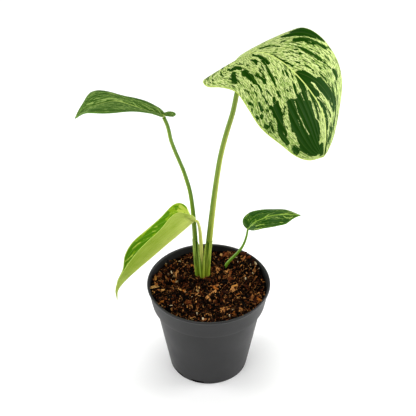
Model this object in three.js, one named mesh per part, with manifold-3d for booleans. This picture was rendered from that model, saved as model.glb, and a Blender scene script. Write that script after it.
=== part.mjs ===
import * as THREE from 'three';
import { mergeVertices } from 'three/addons/utils/BufferGeometryUtils.js';
import Module from 'manifold-3d';

// A young variegated monstera in a round nursery pot.
// Millimetres, +Z up, origin at the centre of the pot's base, +X to the viewer's right, +Y away.

const CLEAR = 0.3; // gap kept between two solids that touch on the real plant

// Pot: thin moulded wall with a stepped collar and a beaded lip
const POT = {
  height: 100.8,
  lipRadius: 60,
  lipHeight: 2.4,
  lipWidth: 2.4,
  collarHeight: 23.1,
  collarFootRadius: 55.3,
  bodyTopRadius: 52.2,
  baseRadius: 38.8,
  baseChamfer: 1.2,
  wall: 1.6,
  floor: 2.2,
  segments: 60,
};
const DRAIN = { pairs: 3, width: 12.6, inset: 6, height: 1.5, lift: 0.4, pairAngle: 4.124, spread: 0.593 };

// Potting mix: loose surface, low in front of the back wall and heaped against the right back
const SOIL = {
  level: 94,
  rings: 17,
  grain: 1.1,
  heap: { x: 33, y: 37, rise: 6.5, spread: 15 },
  leftBank: { x: -50, y: -8, rise: 3, spread: 16 },
  pit: { x: -38.5, y: 7.5, rise: -5, spread: 6 },
};
const CHIPS = { count: 38, seed: 11, longest: 9, shortest: 4, keepOff: 15 };
const GRAINS = { count: 26, seed: 5, radius: 1.7, keepOff: 14 };

// Short stem at the soil line, with the leaf stalks sitting in grooves of its side
const STEM = { x: -6.2, y: 18.6, halfWidth: 6.6, halfDepth: 4.2, bottom: 72, top: 99.5 };

// Leaf stalks: route of the centre line, and radii from the foot to the blade
const STALKS = {
  large: {
    route: [[-2.4, 18.2, 82], [-2.1, 17, 95], [-0.6, 14, 126.5], [1.6, 11.3, 155.5], [4.2, 8.4, 187],
      [7.3, 5.4, 218.5], [10.9, 2.8, 247], [15.9, 0.4, 272.5], [21, -1.6, 294.5], [24.4, -3.6, 316],
      [28.5, -5.4, 337], [33.1, -7.2, 351]],
    radii: [3.1, 3.0, 2.5, 2.3, 2.1], sheathEnd: 0.16, sheathTurn: 2.6, steps: 30,
  },
  left: {
    route: [[-10.2, 18.8, 82], [-10.5, 18, 94], [-12.3, 15.9, 125], [-13.8, 13.6, 159.5],
      [-15.3, 11.2, 184], [-17.6, 9.9, 203.2], [-20.2, 9.3, 214.9], [-23.2, 8.7, 226.5],
      [-26.9, 8, 237.9], [-30.6, 7.3, 249.2], [-33.7, 6.6, 260.3], [-35.3, 6, 270.2],
      [-36.6, 5.6, 276.7], [-39.2, 5.2, 284.4]],
    radii: [2.6, 2.5, 2.0, 1.8, 1.7], sheathEnd: 0.2, sheathTurn: 0.4, steps: 26,
  },
  young: {
    route: [[-6.5, 14.4, 88], [-6.5, 13.6, 98], [-6.8, 10.9, 125], [-7.5, 8.2, 145.5], [-8.8, 5.6, 163],
      [-10.8, 4.3, 171], [-12.9, 4.6, 171.2]],
    radii: [2.0, 2.0, 1.9, 1.7, 1.2], sheathEnd: 0, sheathTurn: 0, steps: 22,
  },
  small: {
    route: [[12, 26.5, 86], [17.2, 28.1, 97.2], [20.5, 28.6, 103.2], [28.4, 29.5, 112.7],
      [33.8, 30.3, 121.6], [36.9, 31.2, 131.5], [38.1, 31.9, 139.5]],
    radii: [1.7, 1.6, 1.4, 1.2, 1.0], sheathEnd: 0.3, sheathTurn: 3.4, steps: 20,
  },
};
const STALK_SIDES = 10;

// Blades: midrib from the notch to the tip, and both edges from the notch round the lobe to the tip.
// shoulder is the share of an edge that the veins of the notch fan out to; belly is how far each
// half bulges towards facing; quilt is how deep the side veins lie between the raised strips;
// keel is the height of the midrib under the blade.
const BLADE = { thickness: 0.8, lobeRows: 9, ribRows: 17, columns: 6 };
const BLADES = {
  large: {
    midrib: [[35, -8, 355.5], [46.5, -11, 357], [60, -14, 351], [73.5, -17, 339.5], [86.5, -20, 324],
      [96.5, -22, 306.5], [100, -25, 288], [99, -29, 266]],
    near: [[35, -8, 355.5], [22.5, -17, 349.8], [10, -30, 351.2], [0, -39, 350.8], [-4.5, -44, 349.8],
      [-1.5, -50, 348.5], [10.5, -58, 351.5], [21, -62, 349.5], [30.5, -66, 338], [42, -66, 320],
      [56.5, -60, 300.5], [71.5, -50, 281.5], [86.5, -39, 269.5], [99, -29, 266]],
    far: [[35, -8, 355.5], [26.5, 2, 344.5], [21.5, 12, 335.5], [28, 22, 337.5], [48, 32, 344.5],
      [67, 39, 350], [82, 42, 352.5], [99, 41, 343.5], [113, 36, 326], [117.5, 30, 308],
      [116, 20, 289.5], [110.5, -2, 271], [104, -18, 265.5], [99, -29, 266]],
    shoulder: { near: 0.42, far: 0.3 },
    facing: [0.35, -0.45, 0.82],
    belly: { near: 5, far: 5 },
    wave: { near: 1.2, far: 1.2, count: 3 },
    quilt: 0.3,
    keel: 1.4,
  },
  left: {
    midrib: [[-39.5, 5, 286], [-52, 4, 291.5], [-67.5, 4, 298], [-79.5, 4, 302], [-91, 4, 300],
      [-104, 3, 295.5], [-117, 2, 285.5]],
    near: [[-39.5, 5, 286], [-42, -5, 291.5], [-48.5, -18, 303.5], [-59.5, -27, 310],
      [-74.5, -30, 311.5], [-89.5, -29, 310.5], [-100.5, -22, 305.5], [-109.5, -8, 296],
      [-117, 2, 285.5]],
    far: [[-39.5, 5, 286], [-37.1, 7, 284.8], [-34.1, 9.5, 282.6], [-31.1, 12, 281],
      [-29.1, 14.5, 281.6], [-30.6, 15.5, 283.2], [-33.8, 13.5, 284.7], [-36.8, 10.5, 285.2],
      [-38.8, 8.6, 286.1], [-39.9, 10.5, 287.1], [-42.1, 14.5, 287.6], [-46.7, 19, 287.9],
      [-54, 24, 288.3], [-65.8, 29, 289.1], [-79.3, 32.5, 290.8], [-90.1, 35, 293.2],
      [-98.2, 36, 293.6], [-104.2, 33, 293.6], [-107.7, 27, 293.6], [-110.7, 19, 292.2],
      [-114.5, 10, 289.3], [-117, 2, 285.5]],
    shoulder: { near: 0.24, far: 0.21 },
    facing: [-0.05, 0.3, 0.95],
    belly: { near: 1.5, far: 3 },
    wave: { near: 0.6, far: 0.8, count: 3 },
    quilt: 0.25,
    keel: 1.0,
  },
  young: {
    midrib: [[-15, 5, 170.5], [-27, 1, 160.5], [-41, -4, 149.5], [-55.5, -9, 137.5], [-69, -13, 126],
      [-80.5, -16, 115.5], [-87, -19, 107.5], [-88, -22, 96.5]],
    near: [[-15, 5, 170.5], [-12.5, -1, 179.5], [-19, -9, 189.5], [-28, -15, 195.5],
      [-33.5, -18, 194], [-44.5, -22, 181.5], [-58.5, -26, 168], [-68.5, -28, 155.5],
      [-78, -29, 140.5], [-85, -27, 125.5], [-88.5, -25, 112], [-88, -22, 96.5]],
    far: [[-15, 5, 170.5], [-19, 14, 173.5], [-21.5, 23, 175], [-27.5, 28, 175], [-34, 29, 172],
      [-46.5, 24, 161], [-61, 17, 150], [-73.5, 8, 141.5], [-80, -1, 133.5], [-82, -10, 125],
      [-87.5, -18, 115.5], [-88, -22, 96.5]],
    shoulder: { near: 0.26, far: 0.3 },
    facing: [-0.55, 0.3, 0.78],
    belly: { near: -3, far: -2 },
    wave: { near: 0.3, far: 0.5, count: 2 },
    quilt: 0.2,
    keel: 0.9,
  },
  small: {
    midrib: [[38.2, 32, 140.3], [44, 33, 147.5], [52, 34, 151.5], [60.5, 35, 154.5], [72.5, 35, 156],
      [89, 33, 156.5]],
    near: [[38.2, 32, 140.3], [43.8, 25, 144], [53, 20.5, 150.5], [66, 20.5, 153], [74.5, 24, 153],
      [81.5, 29, 155.5], [89, 33, 156.5]],
    far: [[38.2, 32, 140.3], [34.2, 37, 141.5], [33.8, 43, 144], [39.7, 48, 148.5],
      [50.5, 51, 150], [64.5, 50, 151], [76.3, 44, 155], [89, 33, 156.5]],
    shoulder: { near: 0.22, far: 0.3 },
    facing: [-0.1, -0.1, 0.98],
    belly: { near: 1.2, far: 1.2 },
    wave: { near: 0.3, far: 0.3, count: 2 },
    quilt: 0.12,
    keel: 0.7,
  },
};

const wasm = await Module();
wasm.setup();

const vector = (p) => new THREE.Vector3(p[0], p[1], p[2]);

function seededRandom(seed) {
  let state = seed;
  return () => {
    state = (state * 1664525 + 1013904223) % 4294967296;
    return state / 4294967296;
  };
}

function toSolid(geometry) {
  const bare = new THREE.BufferGeometry();
  bare.setAttribute('position', geometry.getAttribute('position').clone());
  if (geometry.index) bare.setIndex(geometry.index.clone());
  const merged = mergeVertices(bare, 1e-4);
  return new wasm.Manifold(new wasm.Mesh({
    numProp: 3,
    vertProperties: new Float32Array(merged.getAttribute('position').array),
    triVerts: new Uint32Array(merged.index.array),
  }));
}

function toGeometry(solid) {
  const mesh = solid.getMesh();
  const geometry = new THREE.BufferGeometry();
  geometry.setAttribute('position', new THREE.BufferAttribute(mesh.vertProperties, 3));
  geometry.setIndex(new THREE.BufferAttribute(mesh.triVerts, 1));
  geometry.computeVertexNormals();
  return geometry;
}

function indexedGeometry(points, triangles) {
  const geometry = new THREE.BufferGeometry();
  geometry.setAttribute('position', new THREE.Float32BufferAttribute(points.flatMap((p) => p.toArray()), 3));
  geometry.setIndex(triangles.flat());
  geometry.computeVertexNormals();
  return geometry;
}

// Pot wall: radius of the inside at a height
const collarFoot = POT.height - POT.collarHeight;
function potInside(z) {
  const bodyTop = collarFoot - POT.wall;
  const collarStart = collarFoot + POT.wall;
  const bodyBottomRadius = POT.baseRadius - POT.wall;
  const bodyTopRadius = POT.bodyTopRadius - POT.wall;
  const collarBottomRadius = POT.collarFootRadius - POT.wall;
  const mouthRadius = POT.lipRadius - POT.lipWidth;
  const mix = THREE.MathUtils.mapLinear;
  if (z <= bodyTop) return mix(z, POT.floor, bodyTop, bodyBottomRadius, bodyTopRadius);
  if (z <= collarStart) return mix(z, bodyTop, collarStart, bodyTopRadius, collarBottomRadius);
  return mix(z, collarStart, POT.height, collarBottomRadius, mouthRadius);
}

function potGeometry() {
  const bead = POT.lipHeight / 2;
  const beadCentre = POT.height - bead;
  const profile = [
    new THREE.Vector2(0, 0),
    new THREE.Vector2(POT.baseRadius - POT.baseChamfer, 0),
    new THREE.Vector2(POT.baseRadius, POT.baseChamfer),
    new THREE.Vector2(POT.bodyTopRadius, collarFoot),
    new THREE.Vector2(POT.collarFootRadius, collarFoot),
    new THREE.Vector2(POT.lipRadius - 0.9, beadCentre - bead),
  ];
  for (let k = 0; k <= 4; k += 1) {
    const turn = -Math.PI / 4 + (k / 4) * Math.PI * 0.95;
    profile.push(new THREE.Vector2(
      POT.lipRadius - bead + bead * Math.cos(turn), beadCentre + bead * Math.sin(turn)));
  }
  for (const z of [POT.height - 0.6, collarFoot + POT.wall, collarFoot - POT.wall, POT.floor]) {
    profile.push(new THREE.Vector2(potInside(z), z));
  }
  profile.push(new THREE.Vector2(0, POT.floor));
  const shell = new THREE.LatheGeometry(profile, POT.segments);
  shell.rotateX(Math.PI / 2);
  let pot = toSolid(shell);
  for (let k = 0; k < DRAIN.pairs; k += 1) {
    for (const side of [-0.5, 0.5]) {
      const notch = new THREE.BoxGeometry(DRAIN.inset * 2, DRAIN.width, DRAIN.height);
      notch.translate(POT.baseRadius, 0, DRAIN.lift + DRAIN.height / 2);
      notch.rotateZ(DRAIN.pairAngle + (k / DRAIN.pairs) * Math.PI * 2 + side * DRAIN.spread);
      pot = pot.subtract(toSolid(notch));
    }
  }
  return toGeometry(pot);
}

// Blade as one closed sheet: a mid surface of rows that run from the midrib to the edge,
// thickened along its normals, with the same triangles on both faces
function bladeGeometry(blade, above, below) {
  const rows = BLADE.lobeRows + BLADE.ribRows;
  const facing = vector(blade.facing).normalize();
  const midrib = new THREE.CatmullRomCurve3(blade.midrib.map(vector));
  const points = [midrib.getPointAt(0), midrib.getPointAt(1)];
  const ribShare = [1, 0];
  const ribIndex = [];
  for (let row = 0; row <= rows; row += 1) {
    if (row <= BLADE.lobeRows) ribIndex.push(0);
    else if (row === rows) ribIndex.push(1);
    else {
      ribIndex.push(points.length);
      points.push(midrib.getPointAt((row - BLADE.lobeRows) / BLADE.ribRows));
      ribShare.push(1 - (row - BLADE.lobeRows) / BLADE.ribRows);
    }
  }
  const triangles = [];
  for (const side of ['near', 'far']) {
    const edge = new THREE.CatmullRomCurve3(blade[side].map(vector));
    const shoulder = blade.shoulder[side];
    const grid = [];
    for (let row = 0; row <= rows; row += 1) {
      const inLobe = row <= BLADE.lobeRows;
      const along = inLobe
        ? shoulder * (row / BLADE.lobeRows)
        : shoulder + (1 - shoulder) * ((row - BLADE.lobeRows) / BLADE.ribRows);
      const margin = edge.getPointAt(along);
      const base = points[ribIndex[row]];
      const fullness = Math.sqrt(Math.sin(Math.PI * Math.min(Math.max(row / rows, 0.02), 0.98)));
      const line = [ribIndex[row]];
      for (let column = 1; column <= BLADE.columns; column += 1) {
        const across = column / BLADE.columns;
        if (row === 0 || row === rows) {
          line.push(ribIndex[row]);
          continue;
        }
        const point = base.clone().lerp(margin, across);
        const bulge = blade.belly[side] * fullness * 4 * across * (1 - across);
        const ripple = blade.wave[side] * Math.sin(2 * Math.PI * blade.wave.count * along);
        const strip = blade.quilt * (row % 2 === 0 ? -1 : 1) * Math.sin(Math.PI * across);
        point.addScaledVector(facing, bulge + strip + ripple * fullness * across * across);
        line.push(points.length);
        points.push(point);
        ribShare.push(0);
      }
      grid.push(line);
    }
    for (let row = 0; row < rows; row += 1) {
      for (let column = 0; column < BLADE.columns; column += 1) {
        const corners = [grid[row][column], grid[row][column + 1],
          grid[row + 1][column + 1], grid[row + 1][column]];
        if (side === 'far') corners.reverse();
        const [a, b, c, d] = corners;
        for (const face of [[a, b, c], [a, c, d]]) {
          if (new Set(face).size === 3) triangles.push(face);
        }
      }
    }
  }
  const normals = points.map(() => new THREE.Vector3());
  for (const [a, b, c] of triangles) {
    const normal = points[b].clone().sub(points[a]).cross(points[c].clone().sub(points[a]));
    for (const k of [a, b, c]) normals[k].add(normal);
  }
  normals.forEach((normal) => normal.normalize());
  const upper = points.map((p, k) => p.clone().addScaledVector(normals[k], above));
  const lower = points.map((p, k) => p.clone().addScaledVector(
    normals[k], -below - blade.keel * ribShare[k]));
  const count = points.length;
  const faces = [];
  const open = new Set();
  for (const [a, b, c] of triangles) {
    faces.push([a, b, c], [a + count, c + count, b + count]);
    for (const [from, to] of [[a, b], [b, c], [c, a]]) {
      if (!open.delete(`${to}_${from}`)) open.add(`${from}_${to}`);
    }
  }
  for (const key of open) {
    const [from, to] = key.split('_').map(Number);
    faces.push([to, from, from + count], [to, from + count, to + count]);
  }
  return indexedGeometry([...upper, ...lower], faces);
}

// Leaf stalk: a tapered tube with a sheath ridge along its lower part
function stalkGeometry(stalk, extra) {
  const curve = new THREE.CatmullRomCurve3(stalk.route.map(vector));
  const frames = curve.computeFrenetFrames(stalk.steps, false);
  const radii = stalk.radii.map((r) => new THREE.Vector3(r, 0, 0));
  const radius = new THREE.CatmullRomCurve3(radii);
  const points = [];
  const faces = [];
  for (let step = 0; step <= stalk.steps; step += 1) {
    const along = step / stalk.steps;
    const centre = curve.getPointAt(along);
    if (step === 0) centre.addScaledVector(frames.tangents[step], -extra);
    if (step === stalk.steps) centre.addScaledVector(frames.tangents[step], extra);
    const sheath = stalk.sheathEnd > 0 ? Math.max(0, 1 - along / stalk.sheathEnd) ** 0.5 : 0;
    for (let k = 0; k < STALK_SIDES; k += 1) {
      const turn = (k / STALK_SIDES) * Math.PI * 2;
      const ridge = Math.max(0, Math.cos(turn - stalk.sheathTurn)) ** 4;
      const reach = radius.getPoint(along).x * (1 + 0.2 * sheath * ridge) + extra;
      points.push(centre.clone()
        .addScaledVector(frames.normals[step], reach * Math.cos(turn))
        .addScaledVector(frames.binormals[step], reach * Math.sin(turn)));
    }
  }
  const lower = points.length;
  points.push(curve.getPointAt(0).addScaledVector(frames.tangents[0], -extra));
  points.push(curve.getPointAt(1).addScaledVector(frames.tangents[stalk.steps], extra));
  for (let step = 0; step < stalk.steps; step += 1) {
    for (let k = 0; k < STALK_SIDES; k += 1) {
      const next = (k + 1) % STALK_SIDES;
      const a = step * STALK_SIDES + k;
      const b = step * STALK_SIDES + next;
      faces.push([a, b, b + STALK_SIDES], [a, b + STALK_SIDES, a + STALK_SIDES]);
    }
  }
  const last = stalk.steps * STALK_SIDES;
  for (let k = 0; k < STALK_SIDES; k += 1) {
    const next = (k + 1) % STALK_SIDES;
    faces.push([lower, next, k], [lower + 1, last + k, last + next]);
  }
  return indexedGeometry(points, faces);
}

function stemGeometry(extra) {
  const height = STEM.top - STEM.bottom + extra;
  const profile = [new THREE.Vector2(0, -extra), new THREE.Vector2(0.8, -extra), new THREE.Vector2(1, 3)];
  for (let k = 0; k <= 4; k += 1) {
    const turn = (k / 4) * Math.PI / 2;
    profile.push(new THREE.Vector2(Math.max(0, Math.cos(turn)), height - 5 + 5 * Math.sin(turn)));
  }
  profile[profile.length - 1].x = 0;
  const stem = new THREE.LatheGeometry(profile, 20);
  stem.rotateX(Math.PI / 2);
  stem.scale(STEM.halfWidth + extra, STEM.halfDepth + extra, 1);
  stem.translate(STEM.x, STEM.y, STEM.bottom);
  return stem;
}

// Surface height of the potting mix
function soilTop(x, y) {
  const hump = (h) => h.rise * Math.exp(-((x - h.x) ** 2 + (y - h.y) ** 2) / (2 * h.spread ** 2));
  const rough = Math.sin(x * 0.9 + 2.1 * Math.sin(y * 0.35)) * Math.sin(y * 0.8 + 1.7 * Math.sin(x * 0.42))
    + 0.5 * Math.sin(x * 1.9 - y * 0.7) * Math.sin(y * 2.1 + x * 0.5);
  return SOIL.level + hump(SOIL.heap) + hump(SOIL.leftBank) + hump(SOIL.pit) + SOIL.grain * rough;
}

function soilGeometry(cutters) {
  const points = [new THREE.Vector3(0, 0, soilTop(0, 0))];
  const faces = [];
  const wallHeights = [collarFoot + POT.wall, collarFoot - POT.wall, POT.floor + CLEAR];
  const mouth = potInside(SOIL.level) - CLEAR;
  const ringCount = SOIL.rings + wallHeights.length;
  for (let ring = 1; ring <= ringCount; ring += 1) {
    for (let k = 0; k < POT.segments; k += 1) {
      const turn = (k / POT.segments) * Math.PI * 2;
      let radius = mouth * (ring / SOIL.rings);
      let z = soilTop(radius * Math.cos(turn), radius * Math.sin(turn));
      if (ring > SOIL.rings) {
        z = wallHeights[ring - SOIL.rings - 1];
        radius = potInside(z) - CLEAR;
      }
      if (ring === SOIL.rings) radius = potInside(z) - CLEAR;
      points.push(new THREE.Vector3(radius * Math.cos(turn), radius * Math.sin(turn), z));
    }
  }
  const floor = points.length;
  points.push(new THREE.Vector3(0, 0, POT.floor + CLEAR));
  const at = (ring, k) => 1 + (ring - 1) * POT.segments + (k % POT.segments);
  for (let k = 0; k < POT.segments; k += 1) {
    faces.push([0, at(1, k), at(1, k + 1)], [floor, at(ringCount, k + 1), at(ringCount, k)]);
    for (let ring = 1; ring < ringCount; ring += 1) {
      faces.push([at(ring, k), at(ring + 1, k), at(ring + 1, k + 1)]);
      faces.push([at(ring, k), at(ring + 1, k + 1), at(ring, k + 1)]);
    }
  }
  let soil = toSolid(indexedGeometry(points, faces));
  for (const bit of [...barkChips(), ...paleGrains()]) soil = soil.add(toSolid(bit));
  for (const cutter of cutters) soil = soil.subtract(toSolid(cutter));
  return toGeometry(soil);
}

// A random place on the mix, clear of the stalks and of the pot wall
function placeOnSoil(random, keepOff, margin) {
  for (;;) {
    const turn = random() * Math.PI * 2;
    const radius = Math.sqrt(random()) * (potInside(SOIL.level) - margin);
    const x = radius * Math.cos(turn);
    const y = radius * Math.sin(turn);
    const fromStem = Math.hypot(x - STEM.x, y - STEM.y);
    const fromSmall = Math.hypot(x - STALKS.small.route[1][0], y - STALKS.small.route[1][1]);
    if (fromStem > keepOff && fromSmall > keepOff * 0.7) return new THREE.Vector3(x, y, soilTop(x, y));
  }
}

function barkChips() {
  const random = seededRandom(CHIPS.seed);
  return Array.from({ length: CHIPS.count }, () => {
    const long = CHIPS.shortest + (CHIPS.longest - CHIPS.shortest) * random() ** 1.5;
    const chip = new THREE.BoxGeometry(long, long * (0.4 + 0.3 * random()), 2.2 + 1.6 * random());
    const place = placeOnSoil(random, CHIPS.keepOff, CHIPS.longest * 0.62 + 1);
    chip.rotateX((random() - 0.5) * 0.9);
    chip.rotateY((random() - 0.5) * 0.9);
    chip.rotateZ(random() * Math.PI * 2);
    return chip.translate(place.x, place.y, place.z);
  });
}

function paleGrains() {
  const random = seededRandom(GRAINS.seed);
  return Array.from({ length: GRAINS.count }, () => {
    const grain = new THREE.OctahedronGeometry(GRAINS.radius * (0.8 + 0.5 * random()));
    const place = placeOnSoil(random, GRAINS.keepOff, GRAINS.radius * 1.3 + 1);
    grain.rotateZ(random() * Math.PI);
    return grain.translate(place.x, place.y, place.z + 0.3);
  });
}

const COLOURS = {
  pot: [0x3f4143, 0.55],
  soil: [0x4a2c1b, 0.95],
  stem: [0x5f8a2a, 0.6],
  stalkLarge: [0x8d9f3a, 0.5],
  stalkLeft: [0x5c8a2c, 0.5],
  stalkYoung: [0xb4bf66, 0.5],
  stalkSmall: [0x6f9c2f, 0.5],
  bladeLarge: [0xa9c468, 0.45],
  bladeLeft: [0x5f7f42, 0.5],
  bladeYoung: [0x9cb73f, 0.5],
  bladeSmall: [0x3c6a26, 0.35],
};

const group = new THREE.Group();
function place(name, geometry, [color, roughness]) {
  const mesh = new THREE.Mesh(geometry, new THREE.MeshStandardMaterial({ color, roughness, metalness: 0 }));
  mesh.name = name;
  group.add(mesh);
}

const half = BLADE.thickness / 2;
const crownStalks = ['large', 'left', 'young'];
let stem = toSolid(stemGeometry(0));
for (const name of crownStalks) stem = stem.subtract(toSolid(stalkGeometry(STALKS[name], CLEAR)));
const holes = [stemGeometry(CLEAR), ...Object.values(STALKS).map((stalk) => stalkGeometry(stalk, CLEAR))];

place('pot', potGeometry(), COLOURS.pot);
place('soil', soilGeometry(holes), COLOURS.soil);
place('stem', toGeometry(stem), COLOURS.stem);
for (const name of ['large', 'left', 'young', 'small']) {
  const title = name[0].toUpperCase() + name.slice(1);
  place(`stalk_${name}`, stalkGeometry(STALKS[name], 0), COLOURS[`stalk${title}`]);
  place(`leaf_${name}`, bladeGeometry(BLADES[name], half, half), COLOURS[`blade${title}`]);
}

export default group;
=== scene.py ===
"""Young variegated monstera in a round nursery pot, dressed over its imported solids.

Blender works in metres; the sizes in this file are in millimetres unless a name says otherwise.
"""

import logging
import math
import random
from dataclasses import dataclass, field
from enum import Enum
from typing import Callable, Sequence

import bpy
import numpy as np
from mathutils import Matrix, Vector, noise


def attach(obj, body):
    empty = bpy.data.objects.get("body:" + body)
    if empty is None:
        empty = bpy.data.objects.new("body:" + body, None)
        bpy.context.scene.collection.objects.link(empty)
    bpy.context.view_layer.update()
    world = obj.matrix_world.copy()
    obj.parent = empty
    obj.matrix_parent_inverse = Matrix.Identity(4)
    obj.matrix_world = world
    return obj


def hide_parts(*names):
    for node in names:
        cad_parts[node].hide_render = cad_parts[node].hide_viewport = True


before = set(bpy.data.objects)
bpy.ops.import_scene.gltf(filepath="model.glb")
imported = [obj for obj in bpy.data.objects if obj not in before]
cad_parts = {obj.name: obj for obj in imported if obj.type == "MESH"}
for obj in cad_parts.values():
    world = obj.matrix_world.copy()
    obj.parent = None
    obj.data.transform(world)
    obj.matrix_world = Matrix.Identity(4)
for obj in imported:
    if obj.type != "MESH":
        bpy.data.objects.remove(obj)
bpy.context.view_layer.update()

LOG = logging.getLogger("plant")
MM = 0.001
# every 13.5 mm of rib length the blade swells and dips once, with a side vein on each crest
VEIN_PITCH = 13.5
# the underside shows the finer veins between them
FINE_VEIN_PITCH = 4.5
# crumbs of one sort are copies of this many
PROTOTYPES = 7
Point = tuple[float, float, float]


class Half(Enum):
    """The two halves of a blade, as the camera sees them."""

    NEAR = -1
    FAR = 1


NEAR, FAR = Half.NEAR, Half.FAR
# The marks of a leaf, under their half and half their width in millimetres. Each mark runs through
# pairs of rib length in millimetres, below zero in the lobes, and share of the way from rib to edge.
Marks = dict[tuple[Half, float], Sequence[Sequence[tuple[float, float]]]]

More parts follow.
